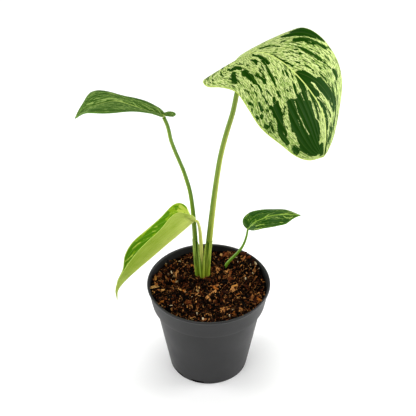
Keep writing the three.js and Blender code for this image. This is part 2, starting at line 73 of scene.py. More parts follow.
# dark blotches, cream patches and greener fields of the large leaf, laid out from the photograph
LARGE_DARK: Marks = {
    (FAR, 3.6): (((45.4, 0.01), (49.4, 0.1), (55, 0.15), (61.4, 0.18), (67.8, 0.22), (74.1, 0.34),
     (79.7, 0.5)),),
    (FAR, 3.2): (((14.4, 0.62), (18.3, 0.72), (22.3, 0.82), (27.1, 0.89), (31.1, 0.91), (34.3, 0.92)),),
    (FAR, 3.0): (((17, 0.82), (22, 0.93), (27, 0.99), (31, 1.0), (35, 1.0), (37, 0.98)), ((60.6, 0.28),
     (68.6, 0.35), (75.7, 0.45), (82.9, 0.55), (86.1, 0.48))),
    (FAR, 2.4): (((50.2, 0.02), (56.6, 0.05), (63.8, 0.05), (68.6, 0.09)),),
    (FAR, 2.2): (((16.7, 0.61), (22.3, 0.68), (27.1, 0.78), (31.9, 0.86)),),
    (FAR, 2.0): (((118.8, 0), (123.6, 0)),),
    (FAR, 1.9): (((23.9, 0.5), (27.1, 0.61), (31.9, 0.71), (35.9, 0.76), (39.9, 0.8), (42.3, 0.86)),),
    (FAR, 1.6): (((33.5, 0.41), (37.5, 0.45), (41.5, 0.49), (44.6, 0.51), (47.8, 0.56)), ((72.5, 0.06),
     (78.9, 0.1), (86.1, 0.19), (91.7, 0.29)), ((78.1, 0.05), (86.9, 0.09), (94.1, 0.11), (101.2, 0.09)),
     ((65.4, 0.75), (62.2, 0.75), (59, 0.72))),
    (FAR, 1.5): (((59, 0.72), (61.4, 0.79), (64.6, 0.82)), ((90.9, 0), (102, 0), (114, 0))),
    (FAR, 1.3): (((83.7, 0.55), (94.1, 0.65), (102.8, 0.61)),),
    (FAR, 1.2): (((31.1, 0.6), (35.9, 0.7)), ((98.1, 0.34), (106, 0.44), (114, 0.3)), ((108.4, 0.5),
     (118, 0.68))),
    (FAR, 1.0): (((116.4, 0.12), (107.6, 0.09)), ((80.5, 0.65), (89.3, 0.61), (98.9, 0.52)), ((67.8, 0.69),
     (74.9, 0.69)), ((89.3, 0.79), (97.3, 0.98))),
    (FAR, 0.9): (((21.5, 0.01), (27.9, 0.02), (32.7, 0.04), (36.7, 0.05)), ((78.1, 0.71), (86.9, 0.8))),
    (FAR, 0.8): (((29.5, 0.41), (31.1, 0.42)), ((50.2, 0.56), (51.8, 0.61)), ((54.2, 0.62), (56.6, 0.66)),
     ((43.1, 0.95), (45.4, 0.96)), ((4.8, 0.16), (9.6, 0.24)), ((78.9, 0.34), (89.3, 0.48)), ((94.1, 0.56),
     (105.2, 0.42), (114, 0.3)), ((71, 0.54), (78.9, 0.6)), ((103.6, 0.82), (112.4, 0.98)), ((47, 0.7),
     (51.8, 0.72)), ((58.2, 0.38), (63, 0.42))),
    (FAR, 0.7): (((28.7, 0.31), (30.3, 0.35)), ((31.9, 0.19), (33.5, 0.21)), ((36.7, 0.15), (38.3, 0.18)),
     ((36.7, 0.54), (38.3, 0.56)), ((40.7, 0.56), (43.1, 0.62)), ((55, 0.35), (57.4, 0.36)), ((46.2, 0.89),
     (47.8, 0.9)), ((15.9, 0.34), (17.5, 0.44)), ((10.4, 0.22), (17.5, 0.25)), ((101.2, 0.29),
     (111.6, 0.24)), ((47.8, 0.41), (52.6, 0.42)), ((49.4, 0.26), (53.4, 0.3))),
    (FAR, 0.6): (((33.5, 0.32), (35.1, 0.35)), ((43.8, 0.4), (46.2, 0.4)), ((43.8, 0.22), (47.8, 0.26)),
     ((66.2, 0.44), (70.2, 0.5))),
    (NEAR, 5.8): (((60.6, 0.25), (67.8, 0.34), (78.9, 0.41), (86.9, 0.48)),),
    (NEAR, 4.8): (((53.4, 0.46), (60.6, 0.55), (70.2, 0.62), (81.3, 0.68), (93.3, 0.71)),),
    (NEAR, 3.6): (((57.4, 0.36), (64.6, 0.44)),),
    (NEAR, 3.3): (((40.7, 0.66), (46.2, 0.71), (51, 0.76), (55.8, 0.82)),),
    (NEAR, 3.2): (((77.3, 0.66), (89.3, 0.68), (100.5, 0.69), (110.8, 0.68)),),
    (NEAR, 3.0): (((89.3, 0.79), (98.9, 0.78), (107.6, 0.75)), ((68.6, 0.2), (79.7, 0.3), (90.1, 0.39),
     (99.7, 0.52))),
    (NEAR, 2.6): (((47, 0.02), (55, 0.09), (62.2, 0.18)),),
    (NEAR, 2.4): (((110.8, 0.39), (119.6, 0.52)), ((72.5, 0.46), (86.9, 0.55), (102, 0.64))),
    (NEAR, 2.2): (((-13, 0.57), (-12, 0.5), (-8, 0.52)), ((76.5, 0.25), (84.5, 0.32), (94.1, 0.39)),
     ((94.9, 0.49), (105.2, 0.51), (113.2, 0.62))),
    (NEAR, 2.0): (((-1, 0.62), (0, 0.52)), ((0.8, 0.57), (5.6, 0.61), (10.4, 0.62))),
    (NEAR, 1.9): (((55, 0.82), (59, 0.89), (65.4, 0.91), (71, 0.92)),),
    (NEAR, 1.7): (((81.3, 0.9), (89.3, 0.91)),),
    (NEAR, 1.6): (((49.4, 0.48), (59, 0.61), (68.6, 0.72)), ((84.5, 0.25), (93.3, 0.31), (102, 0.41))),
    (NEAR, 1.5): (((6.4, 0.08), (10.4, 0.12), (14.4, 0.15), (16.7, 0.18)), ((-7, 0.72), (-6, 0.8),
     (-4, 0.85)), ((11.2, 0.49), (15.1, 0.5), (19.9, 0.51))),
    (NEAR, 1.4): (((62.2, 0.04), (72.5, 0.09), (80.5, 0.14), (85.3, 0.19)),),
    (NEAR, 1.3): (((2.4, 0.21), (4.8, 0.21), (7.2, 0.24)), ((-9, 0.65), (-9, 0.72)), ((5.6, 0.55),
     (8, 0.57))),
    (NEAR, 1.2): (((34.3, 0.59), (37.5, 0.64), (40.7, 0.68)), ((36.7, 0.71), (43.1, 0.76))),
    (NEAR, 1.1): (((46.2, 0.19), (49.4, 0.24), (53.4, 0.29)), ((35.1, 0.71), (35.9, 0.72))),
    (NEAR, 1.0): (((12, 0.19), (16.7, 0.26), (19.9, 0.32), (23.9, 0.36), (27.9, 0.4)), ((2.4, 0.06),
     (3.2, 0.09)), ((14.4, 0.74), (17.5, 0.76)), ((33.5, 0.1), (37.5, 0.15)), ((39.1, 0.59), (42.3, 0.64)),
     ((27.1, 0.95), (29.5, 0.95)), ((42.3, 0.86), (43.8, 0.88)), ((39.1, 0.94), (42.3, 0.94)),
     ((15.1, 0.62), (20.7, 0.66)), ((23.1, 0.81), (28.7, 0.84)), ((58.2, 0.79), (65.4, 0.86))),
    (NEAR, 0.9): (((34.3, 0.48), (38.3, 0.5)), ((-11, 0.4), (-8, 0.4)), ((67.8, 0.01), (75.7, 0.04),
     (82.9, 0.08)), ((30.3, 0.9), (31.9, 0.91)), ((45.4, 0.88), (49.4, 0.91)), ((27.9, 0), (32.7, 0.01)),
     ((23.1, 0.68), (29.5, 0.72))),
    (NEAR, 0.8): (((4, 0.22), (8, 0.31)), ((8.8, 0.7), (11.2, 0.71)), ((23.9, 0.59), (27.9, 0.59)),
     ((26.3, 0.32), (30.3, 0.32)), ((32.7, 0.79), (35.1, 0.78)), ((13.6, 0.94), (17.5, 0.91)),
     ((41.5, 0.35), (43.8, 0.34)), ((43.8, 0.26), (45.4, 0.29)), ((-26, 0.66), (-36, 0.85)), ((-21, 0.99),
     (-20, 0.99)), ((36.7, 0.04), (41.5, 0.09))),
    (NEAR, 0.7): (((-1, 0.38), (0.8, 0.36)), ((11.2, 0.36), (12.8, 0.39)), ((84.5, 0.96), (91.7, 0.99)),
     ((29.5, 0.69), (31.1, 0.7)), ((47.8, 0.56), (50.2, 0.64)), ((-16, 0.66), (-18, 0.55))),
    (NEAR, 0.6): (((-9, 0.81), (-8, 0.8)), ((5.6, 0.84), (10.4, 0.84)), ((31.1, 0.15), (32.7, 0.16)),
     ((-23, 0.95), (-27, 0.94)), ((-20, 0.92), (-20, 0.85)), ((-22, 0.82), (-33, 0.99)), ((-20, 0.71),
     (-16, 0.76))),
    (NEAR, 0.5): (((11.2, 0.25), (15.1, 0.35)), ((15.1, 0.4), (19.9, 0.46)), ((27.9, 0.4), (31.1, 0.44))),
}
LARGE_PALE: Marks = {
    (FAR, 0.55): (((57.4, 0.11), (59.8, 0.14), (64.6, 0.15), (69.4, 0.15)),),
    (FAR, 0.5): (((89.3, 0.54), (95.7, 0.68), (102.8, 0.72)), ((93.3, 0.28), (100.5, 0.45))),
    (FAR, 0.38): (((58.2, 0.11), (63.8, 0.12), (70.2, 0.18), (75.7, 0.22), (80.5, 0.28), (86.9, 0.31),
     (92.5, 0.41)),),
    (FAR, 0.29): (((77.3, 0.39), (81.3, 0.39)),),
    (FAR, 0.25): (((71, 0.05), (75.7, 0.09), (82.1, 0.15), (87.7, 0.2), (93.3, 0.28)),),
    (FAR, 0.21): (((90.9, 0.14), (99.7, 0.15), (106.8, 0.16), (114, 0.08)),),
    (NEAR, 0.38): (((48.6, 0.12), (54.2, 0.18), (58.2, 0.21), (62.2, 0.24)),),
    (NEAR, 0.34): (((43.8, 0.26), (50.2, 0.34), (56.6, 0.41), (63, 0.48), (69.4, 0.5), (76.5, 0.54),
     (83.7, 0.55), (87.7, 0.56)), ((59.8, 0.05), (66.2, 0.1), (72.5, 0.16), (78.1, 0.21), (82.9, 0.24),
     (88.5, 0.21))),
    (NEAR, 0.21): (((67, 0.55), (72.5, 0.59)), ((46.2, 0.6), (52.6, 0.69), (57.4, 0.78))),
}
LARGE_GREEN: Marks = {
    (FAR, 6): (((76.5, 0.52), (87.7, 0.6), (99.7, 0.52), (110, 0.31)), ((46.2, 0.5), (55.8, 0.54),
     (68.6, 0.52))),
    (FAR, 5): (((23.1, 0.36), (28.7, 0.49), (35.9, 0.62)),),
    (FAR, 4): (((4, 0.22), (12, 0.24)),),
    (NEAR, 9): (((15.1, 0.92), (27.9, 0.92), (43.8, 0.94), (59.8, 0.98), (79.7, 0.98), (97.3, 0.94)),),
    (NEAR, 7): (((27.1, 0.79), (43.1, 0.82)),),
    (NEAR, 5): (((37.5, 0.31), (47, 0.46)),),
    (NEAR, 4): (((-9, 0.82), (0, 0.84)),),
}
# the same for the three smaller leaves
LEFT_DARK: Marks = {
    (FAR, 0.84): (((66.1, 1), (73, 1), (77.2, 1)), ((27.7, 0.2), (20.8, 0.12), (13.3, 0.06)),
     ((54.9, 0.78), (46.3, 0.64), (36.8, 0.76), (26.1, 0.7), (17, 1))),
    (FAR, 0.77): (((32.5, 0.4), (26.6, 0.35), (19.7, 0.31), (14.4, 0.22), (7.5, 0.08)),),
    (FAR, 0.7): (((69.8, 0.7), (66.6, 0.41), (63.9, 0.3)), ((58.1, 0.65), (51.7, 0.49), (44.7, 0.39)),
     ((37.3, 0.52), (28.2, 0.56), (17.6, 0.56), (9.6, 0.48))),
    (FAR, 0.63): (((64.5, 0.06), (60.7, 0.05), (59.1, 0.06)), ((12.8, 0.65), (6.4, 0.4), (2.7, 0.14)),
     ((66.6, 0.74), (64.5, 0.54), (59.7, 0.34))),
    (FAR, 0.56): (((61.8, 0.54), (56.5, 0.35), (51.7, 0.24)), ((55.4, 0.44), (49, 0.35), (42.1, 0.26)),
     ((41.5, 0.26), (33.6, 0.26), (28.8, 0.21))),
    (NEAR, 1.1): (((60.7, 0.82), (48.5, 0.79), (42.1, 0.72)),),
    (NEAR, 1): (((74.6, 0.4), (53.3, 0.9), (41.5, 0.88)),),
    (NEAR, 0.84): (((41.5, 0.64), (38.9, 0.6)), ((36.8, 0.88), (27.7, 0.85), (18.1, 0.9))),
    (NEAR, 0.7): (((71.9, 0.32), (60.7, 0.48)),),
    (NEAR, 0.63): (((79.4, 0.44), (81.5, 0.5)),),
    (NEAR, 0.56): (((35.7, 0.34), (28.2, 0.25)),),
}
LEFT_PALE: Marks = {
    (FAR, 0.83): (((55.4, 0.14), (49.5, 0.14), (43.7, 0.09), (38.9, 0.05)),),
    (FAR, 0.66): (((69.2, 0.28), (66.6, 0.21), (63.9, 0.16)),),
    (FAR, 0.5): (((59.7, 0.8), (56.5, 0.74)), ((49, 0.52), (44.2, 0.41), (37.3, 0.98), (32.5, 0.5))),
    (FAR, 0.44): (((61.8, 0.09), (57, 0.09), (52.7, 0.08)), ((9.6, 0.54), (4.8, 0.26), (2.7, 0.1))),
    (FAR, 0.39): (((28.8, 0.18), (26.1, 0.06), (24, 0.01)), ((20.8, 0.25), (14.4, 0.2), (8.5, 0.12))),
    (FAR, 0.33): (((61.8, 0.31), (56.5, 0.25)), ((68.2, 1), (64.5, 0.69))),
    (NEAR, 0.5): (((71.4, 0.14), (59.1, 0.57), (54.3, 0.44)), ((25, 0.52), (15.4, 0.66), (5.3, 0.75))),
    (NEAR, 0.44): (((43.1, 0.3), (36.8, 0.26), (26.6, 0.38)),),
    (NEAR, 0.39): (((33, 0.6), (28.8, 0.41)), ((55.9, 0.34), (49.5, 0.36))),
    (NEAR, 0.33): (((30.9, 0.71), (26.6, 0.75)), ((19.2, 0.28), (10.1, 0.48))),
}
YOUNG_DARK: Marks = {
    (FAR, 3.0): (((12.4, 0.9), (25.5, 0.85), (37.3, 0.81), (49.7, 0.82)), ((33.8, 0.69), (47.6, 0.6),
     (62.1, 0.62), (74.6, 0.79))),
    (FAR, 2.6): (((2.1, 0.91), (4.8, 0.95)), ((46.9, 0.89), (60.7, 0.89), (71.1, 0.9))),
    (FAR, 2.2): (((11, 0.81), (22.8, 0.74)),),
    (FAR, 1.0): (((82.1, 1), (86.3, 1)),),
    (FAR, 0.9): (((-28, 0.95), (-29, 0.92)),),
    (FAR, 0.8): (((-13, 0.86), (-11, 0.79)), ((-33, 0.86), (-41, 0.99))),
    (FAR, 0.7): (((-17, 0.89), (-17, 0.86)),),
    (FAR, 0.6): (((-22, 0.64), (-20, 0.6)),),
    (FAR, 0.5): (((-33, 0.96), (-35, 1)), ((-17, 0.78), (-16, 0.72)), ((-14, 0.56), (-16, 0.54))),
}
YOUNG_PALE: Marks = {
    (FAR, 1.4): (((-20, 0.86), (-23, 0.72), (-25, 0.55)),),
    (FAR, 1.2): (((-12, 0.75), (-16, 0.6)),),
    (FAR, 0.72): (((0.7, 1), (11, 1), (22.8, 0.99), (33.8, 0.98)),),
    (FAR, 0.48): (((67, 0.91), (62.1, 0.81), (57.3, 0.75)),),
    (FAR, 0.42): (((51.8, 0.86), (46.2, 0.84), (42.1, 0.81)),),
    (FAR, 0.3): (((35.2, 0.76), (31.8, 0.71)), ((26.2, 0.82), (23.5, 0.76)), ((20.7, 0.88), (17.9, 0.84)),
     ((71.1, 0.85), (67, 0.79))),
    (FAR, 0.24): (((38.7, 0.81), (36.6, 0.8)),),
}
SMALL_DARK: Marks = {
    (FAR, 2.0): (((2.8, 0.76), (14, 0.7), (25.6, 0.49)),),
    (FAR, 1.6): (((7.7, 0.3), (14, 0.38)),),
    (FAR, 1.4): (((-17, 0.59), (-3, 0.22)),),
    (FAR, 1.2): (((29.5, 0.18), (36.9, 0.3)),),
    (NEAR, 1.6): (((21.1, 0.57), (31.3, 0.68), (39.7, 0.88)),),
    (NEAR, 1.2): (((14.4, 0.4), (22.8, 0.4)), ((2.5, 0.3), (6, 0.7))),
}
SMALL_PALE: Marks = {
    (FAR, 0.32): (((35.1, 0.02), (41.4, 0.16), (46, 0.36)), ((40, 0.8), (46.4, 0.62), (52.3, 0.3))),
    (FAR, 0.29): (((21.1, 0.04), (23.5, 0.15), (25.3, 0.29), (28.8, 0.3)),),
    (FAR, 0.18): (((-10, 0.91), (-3, 0.91)), ((-4, 0.55), (-1, 0.45)), ((10.5, 0.09), (12.3, 0.02))),
    (FAR, 0.14): (((-21, 0.85), (-12, 0.88)),),
    (NEAR, 0.43): (((6, 0.49), (10.2, 0.57), (14, 0.64)),),
    (NEAR, 0.4): (((38.3, 0.26), (39.7, 0.55), (42.5, 0.72), (46.7, 0.65)),),
    (NEAR, 0.29): (((25.3, 0.14), (29.5, 0.25), (32.3, 0.41)),),
    (NEAR, 0.25): (((-3, 0.74), (3.2, 0.9), (8.4, 0.92)),),
    (NEAR, 0.22): (((4.6, 0.15), (9.8, 0.18)), ((20.7, 0.18), (24.2, 0.25))),
    (NEAR, 0.18): (((29.1, 0.79), (33.4, 0.84)), ((45, 0.31), (51.6, 0.09))),
}

# Larger pieces of the mix that the photograph shows: place across and back, and length.
PALE_GRAINS: Sequence[Point] = (
    (-34.6, 15.9, 3.2), (-47.2, 20.5, 3.4), (-48.6, 19.4, 2.6), (-36.8, 22.7, 2.6), (-30.5, 6.8, 3.6),
    (-29.2, 39.8, 1.8), (-43.8, 36.2, 2.8), (-10.3, -7.6, 3.2), (-16.1, -15.6, 2.4), (-18.8, -24.3, 2.6),
    (-24.6, -25.8, 2.0), (-35.9, -30.1, 2.8), (-11.0, -41.4, 2.6), (-5.3, -47.7, 2.6), (7.4, 43.2, 2.0),
    (34.3, 39.8, 2.2), (46.9, 29.1, 3.2), (41.7, 27.2, 2.2), (52.1, 25.5, 2.6), (36.1, 9.8, 2.8),
    (11.1, 0.7, 1.8), (19.7, -42.4, 2.6), (27.3, 35.4, 2.2), (22.5, 36.9, 1.8),
)
HEAP_CHIPS: Sequence[Point] = (
    (44.5, 33, 7), (42, 38, 8), (37, 42, 7), (31, 46.5, 6), (47, 28, 6), (40, 41, 6))
BRIGHT_CHIPS: Sequence[Point] = (
    (13.3, 46.4, 4.0), (25.2, 1.3, 5.5), (28.4, -12.6, 4.5), (49.4, -21.4, 5.5), (6.7, -3.8, 5.0),
    (-54.0, -3.8, 6.5), (-44.3, -8.2, 6.0), (-45.7, -25.3, 4.5), (-23.0, -7.6, 5.5), (-53.0, 8.3, 6.0),
    (-27.8, -6.7, 4.5), (-9.4, -2.3, 4.0),
)


def linear(colour: str) -> tuple[float, float, float, float]:
    """Turn an sRGB hex colour to linear light.

    Args:
        colour: hex value such as "#a0b040".

    Returns:
        Linear red, green, blue and an alpha of one.
    """
    channels = [int(colour[k:k + 2], 16) / 255 for k in (1, 3, 5)]
    return (*[c / 12.92 if c <= 0.04045 else ((c + 0.055) / 1.055) ** 2.4 for c in channels], 1.0)


class Graph:
    """The node tree of one material."""

    def __init__(self, name: str) -> None:
        """Start an empty tree with its output.

        Args:
            name: the material's name.
        """
        self.material = bpy.data.materials.new(name)
        self.material.use_nodes = True
        self.tree = self.material.node_tree
        self.tree.nodes.clear()
        self.output = self.tree.nodes.new("ShaderNodeOutputMaterial")

    def add(self, kind: str, links: dict | None = None, output: int | str = 0, **settings):
        """Add a node with its settings and links.

        Args:
            kind: the node's type name.
            links: socket name or number to a socket or a value.
            output: the output that is handed back.
            **settings: values of the node's own properties.

        Returns:
            The chosen output socket.
        """
        node = self.tree.nodes.new(kind)
        for name, value in settings.items():
            setattr(node, name, value)
        for socket, source in (links or {}).items():
            if isinstance(source, bpy.types.NodeSocket):
                self.tree.links.new(source, node.inputs[socket])
            else:
                node.inputs[socket].default_value = source
        return node.outputs[output]

    def attribute(self, name: str) -> bpy.types.NodeSocket:
        """Read a number that the mesh keeps."""
        return self.add("ShaderNodeAttribute", output="Fac", attribute_name=name)

    def math(self, operation: str, *values, clamp: bool = False) -> bpy.types.NodeSocket:
        """Work on up to three numbers."""
        return self.add("ShaderNodeMath", dict(enumerate(values)), operation=operation, use_clamp=clamp)

    def stretch(self, place: bpy.types.NodeSocket, by: Point) -> bpy.types.NodeSocket:
        """Multiply a place by three factors."""
        return self.add("ShaderNodeVectorMath", {0: place, 1: by}, operation="MULTIPLY")

    def noise(self, place: bpy.types.NodeSocket, scale: float, detail: float = 2.0,
              rough: float = 0.5) -> bpy.types.NodeSocket:
        """Give soft noise over a place."""
        return self.add("ShaderNodeTexNoise", {"Vector": place, "Scale": scale, "Detail": detail,
                                               "Roughness": rough})

    def blend(self, share: bpy.types.NodeSocket, first, second) -> bpy.types.NodeSocket:
        """Mix two colours, each a socket or an sRGB hex."""
        first, second = (linear(c) if isinstance(c, str) else c for c in (first, second))
        return self.add("ShaderNodeMix", {0: share, 6: first, 7: second}, output=2, data_type="RGBA")

    def ramp(self, value: bpy.types.NodeSocket, low: float, high: float, start: float = 0.0,
             end: float = 1.0, smooth: bool = False) -> bpy.types.NodeSocket:
        """Turn the range from low to high into start to end, and hold it beyond."""
        return self.add("ShaderNodeMapRange", {
            "Value": value, "From Min": low, "From Max": high, "To Min": start, "To Max": end,
        }, interpolation_type="SMOOTHSTEP" if smooth else "LINEAR")

    def bump(self, height: bpy.types.NodeSocket, strength: float, depth: float) -> bpy.types.NodeSocket:
        """Raise a height by a depth in millimetres."""
        return self.add("ShaderNodeBump", {"Height": height, "Strength": strength, "Distance": depth * MM})

    def finish(self, colour, rough, **sockets) -> bpy.types.Material:
        """Give the tree its shader and hand back the material.

        Args:
            colour: the base colour, a socket or an sRGB hex.
            rough: the roughness, a socket or a number.
            **sockets: more sockets of the shader, with _ for a space.

        Returns:
            The material.
        """
        shader = self.add("ShaderNodeBsdfPrincipled", {
            "Base Color": linear(colour) if isinstance(colour, str) else colour, "Roughness": rough,
            **{name.replace("_", " "): value for name, value in sockets.items()}})
        self.tree.links.new(shader, self.output.inputs["Surface"])
        return self.material


class Course:
    """Smooth curve through points, walked by its length."""

    def __init__(self, points: Sequence[Sequence[float]], fine: int = 40) -> None:
        """Sample a centripetal Catmull-Rom curve.

        Args:
            points: the points that it passes, in millimetres.
            fine: samples between two points.
        """
        given = np.array(points, float)
        hull = np.vstack([2 * given[0] - given[1], given, 2 * given[-1] - given[-2]])
        parts = []
        for k in range(len(given) - 1):
            a, b, c, d = hull[k:k + 4]
            before, between, after = (max(((q - p) @ (q - p)) ** 0.25, 1e-4)
                                      for p, q in ((a, b), (b, c), (c, d)))
            leave = ((b - a) / before - (c - a) / (before + between) + (c - b) / between) * between
            reach = ((c - b) / between - (d - b) / (between + after) + (d - c) / after) * between
            u = np.linspace(0, 1, fine, endpoint=False)[:, None]
            parts.append(b + leave * u + (3 * (c - b) - 2 * leave - reach) * u ** 2
                         + (2 * (b - c) + leave + reach) * u ** 3)
        self.samples = np.vstack([*parts, given[-1:]])
        steps = np.linalg.norm(np.diff(self.samples, axis=0), axis=1)
        self.lengths = np.concatenate([[0.0], np.cumsum(steps)])
        self.length = float(self.lengths[-1])

    def at(self, share) -> np.ndarray:
        """Give the points at shares of the length."""
        want = np.asarray(share) * self.length
        return np.stack([np.interp(want, self.lengths, self.samples[:, k]) for k in range(3)], -1)

    def direction(self, share) -> np.ndarray:
        """Give the unit tangents at shares of the length."""
        ahead = self.at(np.clip(np.asarray(share) + 0.004, 0, 1))
        way = ahead - self.at(np.clip(np.asarray(share) - 0.004, 0, 1))
        return way / np.linalg.norm(way, axis=-1, keepdims=True)


def deselect() -> None:
    """Leave nothing selected before an operator adds or edits a piece."""
    if bpy.context.object and bpy.context.object.mode != "OBJECT":
        bpy.ops.object.mode_set(mode="OBJECT")
    bpy.ops.object.select_all(action="DESELECT")


def select(piece: bpy.types.Object) -> None:
    """Make a piece the only selected one and the active one."""
    deselect()
    piece.select_set(True)
    bpy.context.view_layer.objects.active = piece


def rework(edit: Callable[..., object], **settings) -> None:
    """Run one operator of edit mode over the whole of the active mesh."""
    bpy.ops.object.mode_set(mode="EDIT")
    bpy.ops.mesh.select_all(action="SELECT")
    edit(**settings)
    bpy.ops.object.mode_set(mode="OBJECT")


def modify(piece: bpy.types.Object, kind: str, **settings) -> None:
    """Put a modifier of one kind on the active piece and apply it."""
    modifier = piece.modifiers.new(kind.lower(), kind)
    for name, value in settings.items():
        setattr(modifier, name, value)
    bpy.ops.object.modifier_apply(modifier=modifier.name)


def smooth(angle: float) -> None:
    """Shade the active piece smooth, but for edges sharper than an angle in degrees."""
    bpy.ops.object.shade_smooth_by_angle(angle=math.radians(angle))


def name_new(name: str) -> bpy.types.Object:
    """Name the primitive just added and its mesh."""
    piece = bpy.context.object
    piece.name = name
    piece.data.name = name
    return piece


def settle(piece: bpy.types.Object) -> None:
    """Apply a piece's place, turn and scale to its mesh."""
    select(piece)
    bpy.ops.object.transform_apply(location=True, rotation=True, scale=True)


def pick_edges(piece: bpy.types.Object, test: Callable[[Vector, Vector], bool]) -> None:
    """Go into edit mode with only the edges selected whose two ends pass a test.

    Args:
        piece: the piece to edit.
        test: told the places of an edge's two ends, in metres.
    """
    mesh = piece.data
    for item in (*mesh.vertices, *mesh.polygons):
        item.select = False
    for edge in mesh.edges:
        edge.select = test(*(mesh.vertices[k].co for k in edge.vertices))
    bpy.context.tool_settings.mesh_select_mode = (False, True, False)
    bpy.ops.object.mode_set(mode="EDIT")


def set_places(mesh: bpy.types.Mesh, places: np.ndarray) -> None:
    """Move a mesh's vertices to places in millimetres."""
    mesh.vertices.foreach_set("co", (places * MM).ravel())
    mesh.update()


def get_places(mesh: bpy.types.Mesh) -> np.ndarray:
    """Read a mesh's vertices in millimetres."""
    flat = np.empty(len(mesh.vertices) * 3)
    mesh.vertices.foreach_get("co", flat)
    return flat.reshape(-1, 3) / MM


def note(mesh: bpy.types.Mesh, name: str, values: np.ndarray) -> None:
    """Keep one number for each vertex as an attribute of the mesh."""
    mesh.attributes.new(name, "FLOAT", "POINT").data.foreach_set("value", values.ravel())


def noted(mesh: bpy.types.Mesh, name: str) -> np.ndarray:
    """Read back the numbers of an attribute."""
    values = np.empty(len(mesh.vertices))
    mesh.attributes[name].data.foreach_get("value", values)
    return values


def hand_over(piece: bpy.types.Object, slot: str, *nodes: str) -> None:
    """Ride a piece on the plant and hide what it stands for.

    Args:
        piece: the finished piece.
        slot: material slot of the record; not used.
        *nodes: the solids that it replaces.
    """
    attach(piece, "root")
    if nodes:
        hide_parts(*nodes)


